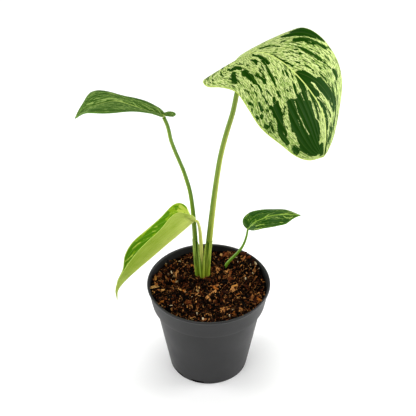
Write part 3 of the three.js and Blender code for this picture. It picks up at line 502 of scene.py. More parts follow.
@dataclass(frozen=True)
class BladeFinish:
    """Living leaf: waxy skin over green or unpigmented tissue, blotched by its own growth."""

    name: str
    ground: tuple[str, str]
    speckle: str
    dark: tuple[str, str]
    rib: str
    margin: str
    under: tuple[str, str]
    dark_bias: float = -0.55
    dark_streak: float = 2.2
    pale_bias: float = -0.75
    pale_ragged: float = 0.8
    speckle_limit: float = 0.47
    speckle_soft: float = 0.03
    speckle_share: float = 0.85
    fleck_limit: float = 0.59
    side_veins: float = 0.12
    roughness: float = 0.48
    coat: float = 0.0
    gloss: float = 0.1

    def upper(self) -> bpy.types.Material:
        """Make the waxy upper skin, its blotches drawn along the veins.

        Returns:
            The material.
        """
        g = Graph(self.name)
        vein, course, half, rib, edge, dark_mark, pale_mark, green = map(g.attribute, (
            "vein", "course", "half", "rib", "edge", "dark", "pale", "green"))
        flat = g.add("ShaderNodeCombineXYZ", {0: vein, 1: course, 2: half})
        # streaks about 3 mm wide and 25 mm long
        wide = g.noise(g.stretch(flat, (0.16, 0.05, 7.0)), 1.0)
        # ragged ends and edges about 1 mm wide
        fine = g.noise(g.stretch(flat, (0.55, 0.24, 3.0)), 1.0, 3.0, 0.6)
        ragged = g.math("MULTIPLY_ADD", fine, 2.6, -1.3)
        streak = g.math("MULTIPLY_ADD", wide, self.dark_streak, -self.dark_streak / 2)
        dark = g.math("ADD", dark_mark, g.math("ADD", streak, ragged))
        dark = g.ramp(dark, -0.1, 0.1, smooth=True)
        pale = g.math("MULTIPLY_ADD", ragged, self.pale_ragged, pale_mark)
        pale = g.ramp(pale, 0.0, 0.2, smooth=True)
        # speckle of green cells in the pale tissue, under 1 mm across, thicker where the leaf is greener
        grain = g.noise(g.stretch(flat, (0.55, 0.35, 2.0)), 1.0, 3.0, 0.6)
        grown = g.math("MULTIPLY_ADD", green, 0.03, grain)
        limit = self.speckle_limit
        speckle = g.ramp(grown, limit, limit + self.speckle_soft, smooth=True)
        fleck = g.noise(g.stretch(flat, (0.5, 0.2, 5.0)), 1.15)
        fleck = g.math("MULTIPLY_ADD", green, 0.015, fleck)
        limit = self.fleck_limit
        fleck = g.ramp(fleck, limit, limit + 0.02, smooth=True)
        ground = g.blend(g.noise(flat, 0.06), self.ground[0], self.ground[1])
        colour = g.blend(g.math("MULTIPLY", speckle, self.speckle_share), ground, self.speckle)
        deep = g.blend(wide, self.dark[0], self.dark[1])
        colour = g.blend(g.math("MULTIPLY", fleck, 0.85), colour, deep)
        colour = g.blend(dark, colour, deep)
        colour = g.blend(pale, colour, ground)
        # side veins show as faint paler lines, rib and edge as clear ones under 1 mm wide
        wave = g.math("COSINE", g.math("MULTIPLY", vein, 2 * math.pi / VEIN_PITCH))
        for line, tone in ((g.ramp(wave, 0.93, 1.0, end=self.side_veins, smooth=True), self.rib),
                           (g.ramp(rib, 0.95, 0.45, smooth=True), self.rib),
                           (g.ramp(edge, 0.9, 0.4, smooth=True), self.margin)):
            colour = g.blend(line, colour, tone)
        normal = g.bump(g.math("MULTIPLY_ADD", wave, 0.3, grain), 0.25, 0.25)
        rough = g.ramp(grain, 0.3, 0.7, self.roughness - 0.05, self.roughness + 0.08)
        return g.finish(colour, rough, Normal=normal, IOR=1.42, Specular_IOR_Level=self.gloss,
                        Coat_Weight=self.coat, Coat_Roughness=0.25)

    def lower(self) -> bpy.types.Material:
        """Make the matte underside, paler than the upper skin.

        Returns:
            The material.
        """
        g = Graph(self.name + " underside")
        vein, rib, taper = map(g.attribute, ("vein", "rib", "taper"))
        cloud = g.noise(g.add("ShaderNodeTexCoord", output="Object"), 90.0, 5.0)
        # painted shade, mottled: darker and greener away from the rib and towards the tip
        away = g.ramp(rib, 2.0, 24.0, end=0.9)
        down = g.math("ADD", g.math("MULTIPLY_ADD", taper, -0.7, away), 0.45)
        shade = g.math("MULTIPLY_ADD", cloud, 0.9, down)
        shade = g.math("SUBTRACT", shade, 0.45, clamp=True)
        colour = g.blend(shade, self.under[0], self.under[1])
        wave = g.math("COSINE", g.math("MULTIPLY", vein, 2 * math.pi / FINE_VEIN_PITCH))
        colour = g.blend(g.ramp(wave, 0.6, 1.0, end=0.35), colour, self.rib)
        colour = g.blend(g.ramp(rib, 1.6, 0.9, smooth=True), colour, self.rib)
        normal = g.bump(wave, 0.3, 0.2)
        return g.finish(colour, 0.55, Normal=normal, IOR=1.4)


@dataclass
class Blade:
    """Heart-shaped blade between a midrib and two edges, with the veins drawn in its surface."""

    name: str
    slot: str
    midrib: Sequence[Point]
    near: Sequence[Point]
    far: Sequence[Point]
    shoulder: tuple[float, float]
    facing: Point
    belly: tuple[float, float]
    wave: tuple[float, float]
    wave_count: int
    keel: float
    finish: BladeFinish
    dark_marks: Marks
    pale_marks: Marks
    green_marks: Marks = field(default_factory=dict)
    arch: tuple[float, float] = (105.0, 80.0)
    quilt: float = 0.2
    thickness: float = 0.5
    lobe_rows: int = 26
    rib_rows: int = 96
    columns: int = 48
    lobe_reach: float = 60.0

    def surface(self) -> dict[str, np.ndarray]:
        """Work out the middle surface and the leaf's own measures on it.

        Returns:
            Arrays of rows by columns: places, and the measures kept as attributes.
        """
        rows, columns = self.lobe_rows + self.rib_rows, self.columns
        row = np.arange(rows + 1)
        midrib = Course(self.midrib)
        share = np.clip((row - self.lobe_rows) / self.rib_rows, 0, 1)
        base = midrib.at(share)
        facing = np.array(self.facing) / np.linalg.norm(self.facing)
        fullness = np.sqrt(np.sin(np.pi * np.clip(row / rows, 0.02, 0.98)))[:, None]
        along_rib = np.where(row <= self.lobe_rows, -self.lobe_reach * (1 - row / self.lobe_rows),
                             share * midrib.length)[:, None]
        halves = []
        for side, edge_points in enumerate((self.near, self.far)):
            edge = Course(edge_points)
            turn = self.shoulder[side]
            along = np.where(row <= self.lobe_rows, turn * row / self.lobe_rows,
                             turn + (1 - turn) * share)
            across = np.linspace(0, 1, columns + 1)[None, :]
            margin = edge.at(along)
            places = base[:, None] + (margin - base)[:, None] * across[..., None]
            bulge = self.belly[side] * fullness * 4 * across * (1 - across)
            ripple = self.wave[side] * np.sin(2 * np.pi * self.wave_count * along)[:, None]
            lift = bulge + ripple * fullness * across ** 2
            lift[0] = lift[-1] = 0
            width = np.linalg.norm(margin - base, axis=1)[:, None]
            arch = self.arch[side] * (1 + 0.9 * np.clip(along_rib / midrib.length, 0, 1) ** 2)
            vein = along_rib - arch * across
            envelope = fullness * np.clip(across * 8, 0, 1) * np.clip((1 - across) * 8, 0, 1)
            lift += self.quilt * envelope * np.cos(2 * np.pi * vein / VEIN_PITCH)
            lift -= 0.35 * np.exp(-((width * across) / 0.9) ** 2) * (width > 2)
            halves.append({
                "places": places + facing * lift[..., None],
                "vein": vein,
                "course": 0.5 * along_rib + 60 * across,
                "rib": width * across,
                "edge": width * (1 - across),
                "half": np.full(vein.shape, float(side)),
                "taper": np.repeat((1 - share)[:, None], columns + 1, axis=1),
            })
        near, far = halves
        return {key: np.concatenate([near[key][:, :0:-1], far[key]], axis=1) for key in near}

    def station(self, grid: np.ndarray, half: Half, rib: float, across: float) -> np.ndarray:
        """Find a place on the surface.

        Args:
            grid: places of the middle surface.
            half: the half of the blade.
            rib: rib length in millimetres, below zero in the lobes.
            across: share of the way from the rib to the edge.

        Returns:
            The place, in millimetres.
        """
        rows, columns = grid.shape[:2]
        middle = columns // 2
        r = (self.lobe_rows + rib / Course(self.midrib).length * self.rib_rows if rib >= 0
             else self.lobe_rows * (1 + rib / self.lobe_reach))
        c = middle + half.value * across * middle
        r0, c0 = min(int(r), rows - 2), min(int(c), columns - 2)
        fr, fc = r - r0, c - c0
        return ((1 - fr) * ((1 - fc) * grid[r0, c0] + fc * grid[r0, c0 + 1])
                + fr * ((1 - fc) * grid[r0 + 1, c0] + fc * grid[r0 + 1, c0 + 1]))

    def mark(self, grid: np.ndarray, marks: Marks, rest: float) -> np.ndarray:
        """Lay marks on the surface as how far inside them each point is.

        Args:
            grid: places of the middle surface.
            marks: the marks by half and half width.
            rest: the value away from all marks.

        Returns:
            One value a point, above zero inside a mark.
        """
        middle = grid.shape[1] // 2
        value = np.full(grid.shape[:2], rest)
        for (half, breadth), courses in marks.items():
            span = slice(0, middle + 1) if half is NEAR else slice(middle, None)
            place = grid[:, span]
            for course in courses:
                way = [self.station(grid, half, *spot) for spot in course]
                for start, end in zip(way, way[1:]):
                    step = end - start
                    share = np.clip(((place - start) @ step) / max(step @ step, 1e-9), 0, 1)
                    away = np.linalg.norm(place - start - share[..., None] * step, axis=-1)
                    # full 1.5 mm within its edge
                    inside = (1.15 * breadth - away) / 1.5 + 0.1
                    value[:, span] = np.maximum(value[:, span], np.clip(inside, rest, 1.5))
        return value

    def build(self) -> bpy.types.Object:
        """Model the blade as a thin closed sheet and dress it.

        Returns:
            The finished piece.
        """
        data = self.surface()
        grid = data.pop("places")
        data["dark"] = self.mark(grid, self.dark_marks, self.finish.dark_bias)
        data["green"] = self.mark(grid, self.green_marks, 0.0)
        data["pale"] = self.mark(grid, self.pale_marks, self.finish.pale_bias)
        rows, columns = grid.shape[:2]
        deselect()
        bpy.ops.mesh.primitive_grid_add(x_subdivisions=columns - 1, y_subdivisions=rows - 1, size=2)
        piece = name_new(self.name)
        mesh = piece.data
        start = get_places(mesh) * MM
        column = np.rint((start[:, 0] + 1) / 2 * (columns - 1)).astype(int)
        row = np.rint((start[:, 1] + 1) / 2 * (rows - 1)).astype(int)
        set_places(mesh, grid[row, column])
        for key, values in data.items():
            note(mesh, key, values[row, column])
        rework(bpy.ops.mesh.remove_doubles, threshold=0.002 * MM)
        normals = np.array([face.normal for face in mesh.polygons])
        if (normals @ np.array(self.facing)).sum() < 0:
            rework(bpy.ops.mesh.flip_normals)
        count = len(mesh.vertices)
        down = -np.array([vertex.normal for vertex in mesh.vertices])
        mesh.materials.append(self.finish.upper())
        mesh.materials.append(self.finish.lower())
        modify(piece, "SOLIDIFY", thickness=self.thickness * MM, offset=0, material_offset=1)
        # the keel under the midrib, thinner towards the tip
        places = get_places(mesh)
        keel = self.keel * noted(mesh, "taper") * np.exp(-(noted(mesh, "rib") / 1.3) ** 2)
        places[count:] += down * keel[:count, None]
        set_places(mesh, places)
        smooth(50)
        hand_over(piece, self.slot, self.name)
        return piece


@dataclass(frozen=True)
class StalkFinish:
    """Living leaf stalk: smooth fleshy skin, striped along its fibres."""

    name: str
    light: str
    deep: str
    foot: str
    stripe_range: tuple[float, float] = (0.3, 0.7)
    # which flank of the stalk takes the painted shade, and how dark
    shade_turn: float = math.pi
    shade: float = 0.0

    def material(self) -> bpy.types.Material:
        """Make the skin, with long stripes, painted shade on one flank and a paler foot.

        Returns:
            The material.
        """
        g = Graph(self.name)
        around, along = map(g.attribute, ("around", "along"))
        flat = g.add("ShaderNodeCombineXYZ", {0: around, 1: along, 2: 0.0})
        # stripes about 0.6 mm wide run up the stalk
        stripe = g.ramp(g.noise(g.stretch(flat, (5.0, 0.03, 1.0)), 1.0, 4.0), *self.stripe_range)
        # painted shade: one flank of the stalk is drawn darker than the other, mixed into the stripes
        shaded_flank = g.math("COSINE", g.math("SUBTRACT", around, self.shade_turn))
        green = g.math("MULTIPLY_ADD", shaded_flank, self.shade, stripe, clamp=True)
        colour = g.blend(green, self.light, self.deep)
        colour = g.blend(g.ramp(along, 34.0, 6.0, end=0.6, smooth=True), colour, self.foot)
        normal = g.bump(stripe, 0.3, 0.15)
        return g.finish(colour, 0.42, Normal=normal, IOR=1.42)


@dataclass
class Stalk:
    """Leaf stalk: a tapered tube with the two wings of its sheath low down."""

    name: str
    slot: str
    route: Sequence[Point]
    radii: Sequence[float]
    finish: StalkFinish
    sheath_end: float = 0.16
    sheath_turn: float = 0.0
    sheath_reach: float = 0.5
    knee: float = 0.0
    steps: int = 110
    sides: int = 28

    def build(self) -> bpy.types.Object:
        """Model the stalk round its route and dress it.

        Returns:
            The finished piece.
        """
        deselect()
        bpy.ops.mesh.primitive_cylinder_add(vertices=self.sides, radius=1, depth=2, end_fill_type="TRIFAN")
        piece = name_new(self.name)
        mesh = piece.data
        pick_edges(piece, lambda low, high: abs(low.z - high.z) > 1)
        bpy.ops.mesh.subdivide_edgering(number_cuts=self.steps - 1, smoothness=0)
        bpy.ops.object.mode_set(mode="OBJECT")
        start = get_places(mesh) * MM
        share = np.clip((start[:, 2] + 1) / 2, 0, 1)
        turn = np.arctan2(start[:, 1], start[:, 0])
        away = np.minimum(np.hypot(start[:, 0], start[:, 1]), 1)
        curve = Course(self.route)
        centre, tangent = curve.at(share), curve.direction(share)
        side = np.cross(tangent, [0.0, 1.0, 0.0])
        side /= np.linalg.norm(side, axis=1, keepdims=True)
        front = np.cross(side, tangent)
        radius = np.interp(share, np.linspace(0, 1, len(self.radii)), self.radii)
        sheath = np.clip(1 - share / max(self.sheath_end, 1e-6), 0, 1) ** 0.35
        sheath = sheath * np.clip(share * curve.length / 14 - 0.35, 0, 1)
        for wing, reach in ((-0.7, 0.6), (0.0, 1.0)):
            ridge = np.maximum(0, np.cos(turn - self.sheath_turn - wing)) ** 14
            radius = radius * (1 + self.sheath_reach * reach * sheath * ridge)
        radius = radius * (1 + self.knee * np.exp(-((share - 0.975) / 0.025) ** 2))
        reach = (radius * away)[:, None]
        set_places(mesh, centre - side * reach * np.cos(turn)[:, None]
                   + front * reach * np.sin(turn)[:, None])
        note(mesh, "around", turn)
        note(mesh, "along", share * curve.length)
        rework(bpy.ops.mesh.normals_make_consistent, inside=False)
        mesh.materials.append(self.finish.material())
        smooth(60)
        hand_over(piece, self.slot, self.name)
        return piece


@dataclass
class Sheath:
    """Clasping foot of a stalk: a thin skin that wraps it and the front of the youngest stalk."""

    name: str
    host: Stalk
    young: Stalk
    turns: Sequence[float]
    young_turns: Sequence[float]
    finish: StalkFinish
    bottom: float = 87.0
    meet: float = 113.0
    top: float = 143.0
    stand_off: float = 0.35
    young_off: float = 0.35
    thickness: float = 0.5
    rows: int = 48
    columns: int = 18

    def centre(self, stalk: Stalk, z: float) -> tuple[np.ndarray, float]:
        """Give a stalk's middle and radius at a height, in millimetres."""
        curve = Course(stalk.route)
        samples = curve.samples
        share = np.interp(z, samples[:, 2], curve.lengths) / curve.length
        middle = np.array([np.interp(z, samples[:, 2], samples[:, k]) for k in (0, 1)])
        return middle, float(np.interp(share, np.linspace(0, 1, len(stalk.radii)), stalk.radii))

    def build(self) -> bpy.types.Object:
        """Model the sheath as a strip whose free edge runs up to its lip, and dress it.

        Returns:
            The finished piece.
        """
        deselect()
        bpy.ops.mesh.primitive_grid_add(x_subdivisions=self.columns, y_subdivisions=self.rows, size=2)
        piece = name_new(self.name)
        mesh = piece.data
        start = get_places(mesh) * MM
        places = np.empty_like(start)
        around = np.empty(len(start))
        heights = np.unique(np.round(start[:, 1], 5))
        for level in heights:
            z = self.bottom + (self.top - self.bottom) * (level + 1) / 2
            host, radius = self.centre(self.host, z)
            young, young_radius = self.centre(self.young, z)
            ring = [host + (radius + self.stand_off) * np.array([math.cos(a), math.sin(a)])
                    for a in map(math.radians, self.turns)]
            ring += [young + (young_radius + self.young_off) * np.array([math.cos(a), math.sin(a)])
                     for a in map(math.radians, self.young_turns)]
            section = Course([(*point, z) for point in ring])
            lip = min(1.0, max(0.0, (z - self.meet) / (self.top - self.meet)))
            reach = 1.0 - 0.42 * lip ** 0.8 - 0.45 * max(0.0, lip - 0.9) / 0.1
            row = np.abs(start[:, 1] - level) < 1e-4
            share = (start[row, 0] + 1) / 2 * reach
            places[row] = section.at(share)
            around[row] = share * section.length / 2.2
        set_places(mesh, places)
        note(mesh, "around", around)
        note(mesh, "along", places[:, 2] - self.bottom)
        if sum(face.normal.y for face in mesh.polygons) > 0:
            rework(bpy.ops.mesh.flip_normals)
        mesh.materials.append(self.finish.material())
        modify(piece, "SOLIDIFY", thickness=self.thickness * MM, offset=0)
        smooth(60)
        hand_over(piece, "stem_green")
        return piece


@dataclass
class Pot:
    """Thin moulded nursery pot with a stepped collar, a beaded lip and drain notches."""

    height: float = 100.8
    lip_radius: float = 60.0
    collar_foot_radius: float = 55.3
    collar_foot: float = 77.7
    body_top_radius: float = 52.2
    base_radius: float = 38.8
    wall: float = 1.6
    floor: float = 2.2
    segments: int = 128
    notch_pairs: int = 3
    notch_turn: float = 236.3
    notch_spread: float = 34.0
    notch_width: float = 12.6
    notch_height: float = 2.6
    notch_lift: float = 0.4
    notch_depth: float = 6.0

    def profile(self) -> list[tuple[float, float]]:
        """Give radius and height along the section, from under the base round to the inner floor.

        Returns:
            Pairs of radius and height.
        """
        def body(z: float) -> float:
            """Outer radius of the body at a height."""
            return self.base_radius + (self.body_top_radius - self.base_radius) * z / self.collar_foot

        line = [(self.base_radius - 1.3, 0.0), (self.base_radius - 0.5, 0.15), (body(0.6), 0.6)]
        line += [(body(z), z) for z in (1.4, 4, 12, 24, 36, 48, 60, 70, 75, 76.7)]
        foot = self.collar_foot
        line += [(self.body_top_radius + 0.25, foot - 0.25), (self.body_top_radius + 0.9, foot),
                 (self.collar_foot_radius - 0.7, foot), (self.collar_foot_radius - 0.2, foot + 0.15),
                 (self.collar_foot_radius, foot + 0.7)]
        collar_top = self.height - 2.5
        flare = self.lip_radius - 1.0 - self.collar_foot_radius
        line += [(self.collar_foot_radius + flare * share, foot + (collar_top - foot) * share)
                 for share in (0.15, 0.35, 0.55, 0.75, 0.92)]
        line.append((self.lip_radius - 0.95, collar_top - 0.1))
        bead, middle = 1.2, self.height - 1.2
        for k in range(9):
            turn = math.radians(-60 + k * 27)
            line.append((self.lip_radius - bead + bead * math.cos(turn), middle + bead * math.sin(turn)))
        line += [(self.lip_radius - 2.5, self.height - 0.9), (self.lip_radius - 2.9, self.height - 4),
                 (self.collar_foot_radius - self.wall, foot + self.wall),
                 (self.body_top_radius - self.wall, foot - self.wall),
                 (self.base_radius - self.wall, self.floor)]
        return line

    def build(self) -> bpy.types.Object:
        """Model the pot ring by ring, cut its notches and dress it.

        Returns:
            The finished piece.
        """
        line = self.profile()
        radius, height = line[0]
        deselect()
        bpy.ops.mesh.primitive_circle_add(vertices=self.segments, radius=radius * MM, fill_type="TRIFAN",
                                          location=(0, 0, height * MM))
        piece = name_new("pot_shell")
        settle(piece)
        mesh = piece.data
        rim = 0.5 * radius * MM
        pick_edges(piece, lambda one, two: one.xy.length > rim and two.xy.length > rim)
        for next_radius, next_height in line[1:]:
            bpy.ops.mesh.extrude_edges_move(
                TRANSFORM_OT_translate={"value": (0, 0, (next_height - height) * MM)})
            share = next_radius / radius
            bpy.ops.transform.resize(value=(share, share, 1), center_override=(0, 0, next_height * MM))
            radius, height = next_radius, next_height
        bpy.ops.mesh.edge_face_add()
        bpy.ops.mesh.poke()
        rework(bpy.ops.mesh.normals_make_consistent, inside=False)
        self.cut_notches(piece)
        select(piece)
        mesh.materials.clear()
        mesh.materials.append(self.material())
        mesh.materials.append(self.painted_slot_shade())
        # the faces inside the drain slots take the black painted shade
        for face in mesh.polygons:
            low, high = self.notch_lift - 0.1, self.notch_lift + self.notch_height + 0.1
            if low < face.center.z / MM < high and face.center.xy.length / MM < self.base_radius - 1:
                face.material_index = 1
        smooth(38)
        hand_over(piece, "pot_plastic", "pot")
        return piece

    def painted_slot_shade(self) -> bpy.types.Material:
        """Make black painted shade for the faces inside the drain slots, so that they read as holes."""
        g = Graph("drain slots, painted black shade")
        return g.finish("#070504", 0.95, Specular_IOR_Level=0.1)

    def cut_notches(self, piece: bpy.types.Object) -> None:
        """Cut the drain notches through the edge of the base.

        Args:
            piece: the pot.
        """
        middle = self.notch_lift + self.notch_height / 2
        for pair in range(self.notch_pairs):
            for side in (-0.5, 0.5):
                turn = math.radians(self.notch_turn + 360 / self.notch_pairs * pair
                                    + side * self.notch_spread)
                deselect()
                bpy.ops.mesh.primitive_cube_add(size=1)
                cutter = name_new("notch_cutter")
                cutter.data.transform(
                    Matrix.Rotation(turn, 4, "Z")
                    @ Matrix.Translation((self.base_radius * MM, 0, middle * MM))
                    @ Matrix.Diagonal((2 * self.notch_depth * MM, self.notch_width * MM,
                                       self.notch_height * MM, 1)))
                select(piece)
                modify(piece, "BOOLEAN", operation="DIFFERENCE", solver="EXACT", object=cutter)
                bpy.data.objects.remove(cutter)

    def material(self) -> bpy.types.Material:
        """Make the moulded polypropylene: near black, satin, with a fine cloudy flow and dust.

        Returns:
            The material.
        """
        g = Graph("polypropylene, injection moulded")
        place = g.add("ShaderNodeTexCoord", output="Object")
        flow = g.noise(place, 28.0, 4.0)
        # texture of the mould, drawn at 0.5 mm so that it shows
        skin = g.noise(place, 2000.0)
        colour = g.blend(flow, "#222223", "#2a2a2b")
        colour = g.blend(g.math("MULTIPLY", skin, 0.25), colour, "#383839")
        rough = g.ramp(flow, 0.3, 0.7, 0.42, 0.55)
        normal = g.bump(skin, 0.25, 0.08)
        return g.finish(colour, rough, Normal=normal, IOR=1.49)


@dataclass
class PottingMix:
    """Coarse mix of coir, bark and perlite, heaped against the right back of the pot."""

    level: float = 94.0
    mouth: float = 57.0
    rings: int = 44
    segments: int = 120
    seed: int = 7
    humps: Sequence[tuple[float, float, float, float]] = (
        (35, 37, 9, 13), (-50, -8, 3, 16), (-38.5, 7.5, -6.5, 6), (-5.2, 8.6, 4.4, 4.4))
    wall_steps: Sequence[tuple[float, float]] = ((53.4, 79.3), (50.3, 76.1), (36.9, 2.5))

    def top(self, x: float, y: float) -> float:
        """Give the surface height at a place, in millimetres."""
        z = self.level - 0.8
        for hump_x, hump_y, rise, spread in self.humps:
            z += rise * math.exp(-((x - hump_x) ** 2 + (y - hump_y) ** 2) / (2 * spread ** 2))
        z += 2.2 * noise.noise(Vector((x * 0.11, y * 0.11, 3.1)))
        return z + 1.3 * noise.noise(Vector((x * 0.33, y * 0.33, 7.7)))

    def base(self) -> bpy.types.Object:
        """Model the body of the mix, with an uneven top.

        Returns:
            The piece, not yet dressed.
        """
        deselect()
        bpy.ops.mesh.primitive_circle_add(vertices=self.segments, radius=self.mouth * MM, fill_type="NGON",
                                          location=(0, 0, self.level * MM))
        piece = name_new("potting_mix_bed")
        settle(piece)
        mesh = piece.data
        bpy.ops.object.mode_set(mode="EDIT")
        bpy.ops.mesh.select_all(action="SELECT")
        bpy.ops.mesh.select_mode(type="FACE")
        for _ in range(self.rings):
            bpy.ops.mesh.inset(thickness=self.mouth / (self.rings + 1) * MM)
        bpy.ops.mesh.poke()
        bpy.ops.object.mode_set(mode="OBJECT")
        places = get_places(mesh)
        for place in places:
            place[2] = self.top(place[0], place[1])
            place[2] += 0.9 * noise.noise(Vector((place[0] * 0.9, place[1] * 0.9, 1.3)))
        set_places(mesh, places)
        rim = (self.mouth - 0.1) * MM
        pick_edges(piece, lambda one, two: one.xy.length > rim and two.xy.length > rim)
        radius = self.mouth
        for next_radius, next_height in self.wall_steps:
            bpy.ops.mesh.extrude_edges_move()
            share = next_radius / radius
            bpy.ops.transform.resize(value=(share, share, 0), center_override=(0, 0, next_height * MM))
            radius = next_radius
        bpy.ops.mesh.edge_face_add()
        rework(bpy.ops.mesh.normals_make_consistent, inside=False)
        # the bed takes the darkest tone of its material, near black: partly the mix's own dark colour,
        # partly painted shade in the gaps between the crumbs
        note(mesh, "tone", np.full(len(mesh.vertices), 0.1))
        return piece

    def prototype(self, kind: str, rng: random.Random) -> tuple[np.ndarray, list]:
        """Model one crumb of the mix about 1 unit long.

        Args:
            kind: chip, crumb or fibre.
            rng: the random source.

        Returns:
            Its vertices and its faces.
        """
        deselect()
        if kind == "fibre":
            bpy.ops.mesh.primitive_cylinder_add(vertices=4, radius=0.5, depth=1, end_fill_type="NGON")
        else:
            bpy.ops.mesh.primitive_cube_add(size=1)
        piece = name_new("crumb")
        mesh = piece.data
        if kind == "fibre":
            pick_edges(piece, lambda low, high: abs(low.z - high.z) > 0.5)
            bpy.ops.mesh.subdivide_edgering(number_cuts=6, smoothness=0)
            bpy.ops.object.mode_set(mode="OBJECT")
            bend, twist = rng.uniform(0.2, 1.4), rng.uniform(-0.6, 0.6)
            for vertex in mesh.vertices:
                along = vertex.co.z
                thin = 0.05 * (1 - abs(along) * 0.9)
                vertex.co = Vector((
                    along * math.cos(bend * along),
                    bend * (along ** 2 - 0.1) * 0.5 + vertex.co.x * thin,
                    twist * along ** 2 * math.sin(5 * along) + vertex.co.y * thin))
        else:
            rework(bpy.ops.mesh.subdivide, number_cuts=1 if kind == "crumb" else 2)
            shape = ((1, rng.uniform(0.3, 0.6), rng.uniform(0.12, 0.25)) if kind == "chip"
                     else (1, rng.uniform(0.28, 0.65), rng.uniform(0.15, 0.4)))
            drift = Vector((rng.random() * 50, rng.random() * 50, 0))
            for vertex in mesh.vertices:
                push = noise.noise_vector(vertex.co * 1.7 + drift) * 0.42
                vertex.co = vertex.co * (1.12 - 0.5 * max(0, vertex.co.length - 0.5)) + push
                vertex.co = Vector(c * s for c, s in zip(vertex.co, shape))
        vertices = np.array([vertex.co for vertex in mesh.vertices])
        faces = [list(face.vertices) for face in mesh.polygons]
        bpy.data.objects.remove(piece)
        return vertices, faces

    def scatter(self, name: str, kind: str, count: int, sizes: tuple[float, float], sink: float,
                tilt: float, rng: random.Random,
                placed: Sequence[Point] = ()) -> bpy.types.Object:
        """Strew copies of a few crumbs over the surface as one piece.

        Args:
            name: the piece's name.
            kind: chip, crumb or fibre.
            count: how many.
            sizes: shortest and longest, in millimetres.
            sink: how far above the surface their middles lie at most, in millimetres.
            tilt: how far they may lean, in radians.
            rng: the random source.
            placed: place and size of more of them, in millimetres.

        Returns:
            The piece, not yet dressed.
        """
        protos = [self.prototype(kind, rng) for _ in range(PROTOTYPES)]
        all_places, all_faces, tones = [], [], []
        start = 0
        for index in range(count + len(placed)):
            size = rng.uniform(*sizes)
            reach = (self.mouth - 0.65 * size) * math.sqrt(rng.random())
            turn = rng.uniform(0, 2 * math.pi)
            x, y = reach * math.cos(turn), reach * math.sin(turn)
            rise = rng.uniform(-0.4, 1.0) * sink
            if index >= count:
                x, y, size = placed[index - count]
                # keep it off the wall
                share = min(1.0, (self.mouth - 0.65 * size) / math.hypot(x, y))
                x, y, rise = x * share, y * share, sink
            spot = Vector((x, y, self.top(x, y) + rise))
            pose = (Matrix.Rotation(rng.uniform(0, 6.28), 3, "Z")
                    @ Matrix.Rotation(rng.gauss(0, tilt), 3, "Y")
                    @ Matrix.Rotation(rng.gauss(0, tilt), 3, "X"))
            vertices, faces = protos[rng.randrange(PROTOTYPES)]
            all_places.append(vertices @ np.array(pose).T * size + np.array(spot))
            all_faces += [[start + k for k in face] for face in faces]
            tones += [rng.random()] * len(vertices)
            start += len(vertices)
        mesh = bpy.data.meshes.new(name)
        mesh.from_pydata((np.vstack(all_places) * MM).tolist(), [], all_faces)
        note(mesh, "tone", np.array(tones))
        piece = bpy.data.objects.new(name, mesh)
        bpy.context.collection.objects.link(piece)
        select(piece)
        rework(bpy.ops.mesh.normals_make_consistent, inside=False)
        smooth(35)
        return piece

    def material(self, name: str, stops: Sequence[str], grain: float, rough: float) -> bpy.types.Material:
        """Make one sort of crumb, its tone chosen piece by piece.

        Args:
            name: the material's name.
            stops: hex colours from the darkest crumbs to the palest.
            grain: size of its grain in millimetres.
            rough: roughness.

        Returns:
            The material.
        """
        g = Graph(name)
        place = g.add("ShaderNodeTexCoord", output="Object")
        tone = g.attribute("tone")
        cloud = g.noise(place, 1000 / grain, 4.0)
        colour = g.add("ShaderNodeRGB")
        colour.node.outputs[0].default_value = linear(stops[0])
        for k, stop in enumerate(stops[1:]):
            low = (k + 0.4) / len(stops)
            colour = g.blend(g.ramp(tone, low, low + 1 / len(stops)), colour, stop)
        dim = g.ramp(cloud, 0.3, 0.7, 0.45, 1.15)
        colour = g.add("ShaderNodeVectorMath", {0: colour, "Scale": dim}, operation="SCALE")
        normal = g.bump(cloud, 0.6, 0.4)
        return g.finish(colour, rough, Normal=normal, IOR=1.4, Specular_IOR_Level=0.2)

    def build(self) -> list[bpy.types.Object]:
        """Model the bed and everything strewn on it, and dress it.

        Returns:
            The finished pieces.
        """
        rng = random.Random(self.seed)
        # noise_vector takes its offsets from the clock unless this is set
        noise.seed_set(self.seed)
        bark = self.material("bark, chipped", (
            "#0b0502", "#190b04", "#34190a", "#562a11", "#7a4320", "#c18a52"), 1.6, 0.85)
        rind = self.material("bark, freshly broken", ("#a8662a", "#c98a3e", "#dcae70"), 1.6, 0.85)
        coir = self.material("coir, shredded", ("#170c06", "#3a1f0f", "#6e4019", "#b08250"), 0.8, 0.9)
        perlite = self.material("perlite, expanded", ("#b09468", "#d4ba8c", "#ead8b4"), 0.7, 0.8)
        # near black at its dark end: the mix's own dark colour and painted shade in the gaps
        peat_and_gap_shade = self.material("peat, crumbled", ("#080301", "#150904", "#331a0b"), 0.9, 0.95)
        bed = self.base()
        bed.data.materials.append(peat_and_gap_shade)
        pieces = [bed]
        for name, kind, count, sizes, sink, tilt, finish, placed in (
                ("bark_chips", "chip", 170, (3.0, 8.0), 1.2, 0.4, bark, HEAP_CHIPS),
                ("bark_crumbs", "crumb", 3600, (0.9, 2.9), 1.4, 1.0, bark, ()),
                ("peat_crumbs", "crumb", 1500, (1.0, 3.2), 1.2, 1.0, peat_and_gap_shade, ()),
                ("coir_fibres", "fibre", 760, (3.5, 9.0), 2.0, 0.3, coir, ()),
                ("perlite_grains", "crumb", 40, (1.0, 2.2), 1.4, 1.0, perlite, PALE_GRAINS),
                ("bright_chips", "chip", 12, (3.0, 5.0), 1.4, 0.4, rind, BRIGHT_CHIPS)):
            piece = self.scatter(name, kind, count, sizes, sink, tilt, rng, placed)
            piece.data.materials.append(finish)
            pieces.append(piece)
        hand_over(bed, "potting_mix", "soil")
        for piece in pieces[1:]:
            hand_over(piece, "potting_mix")
        return pieces


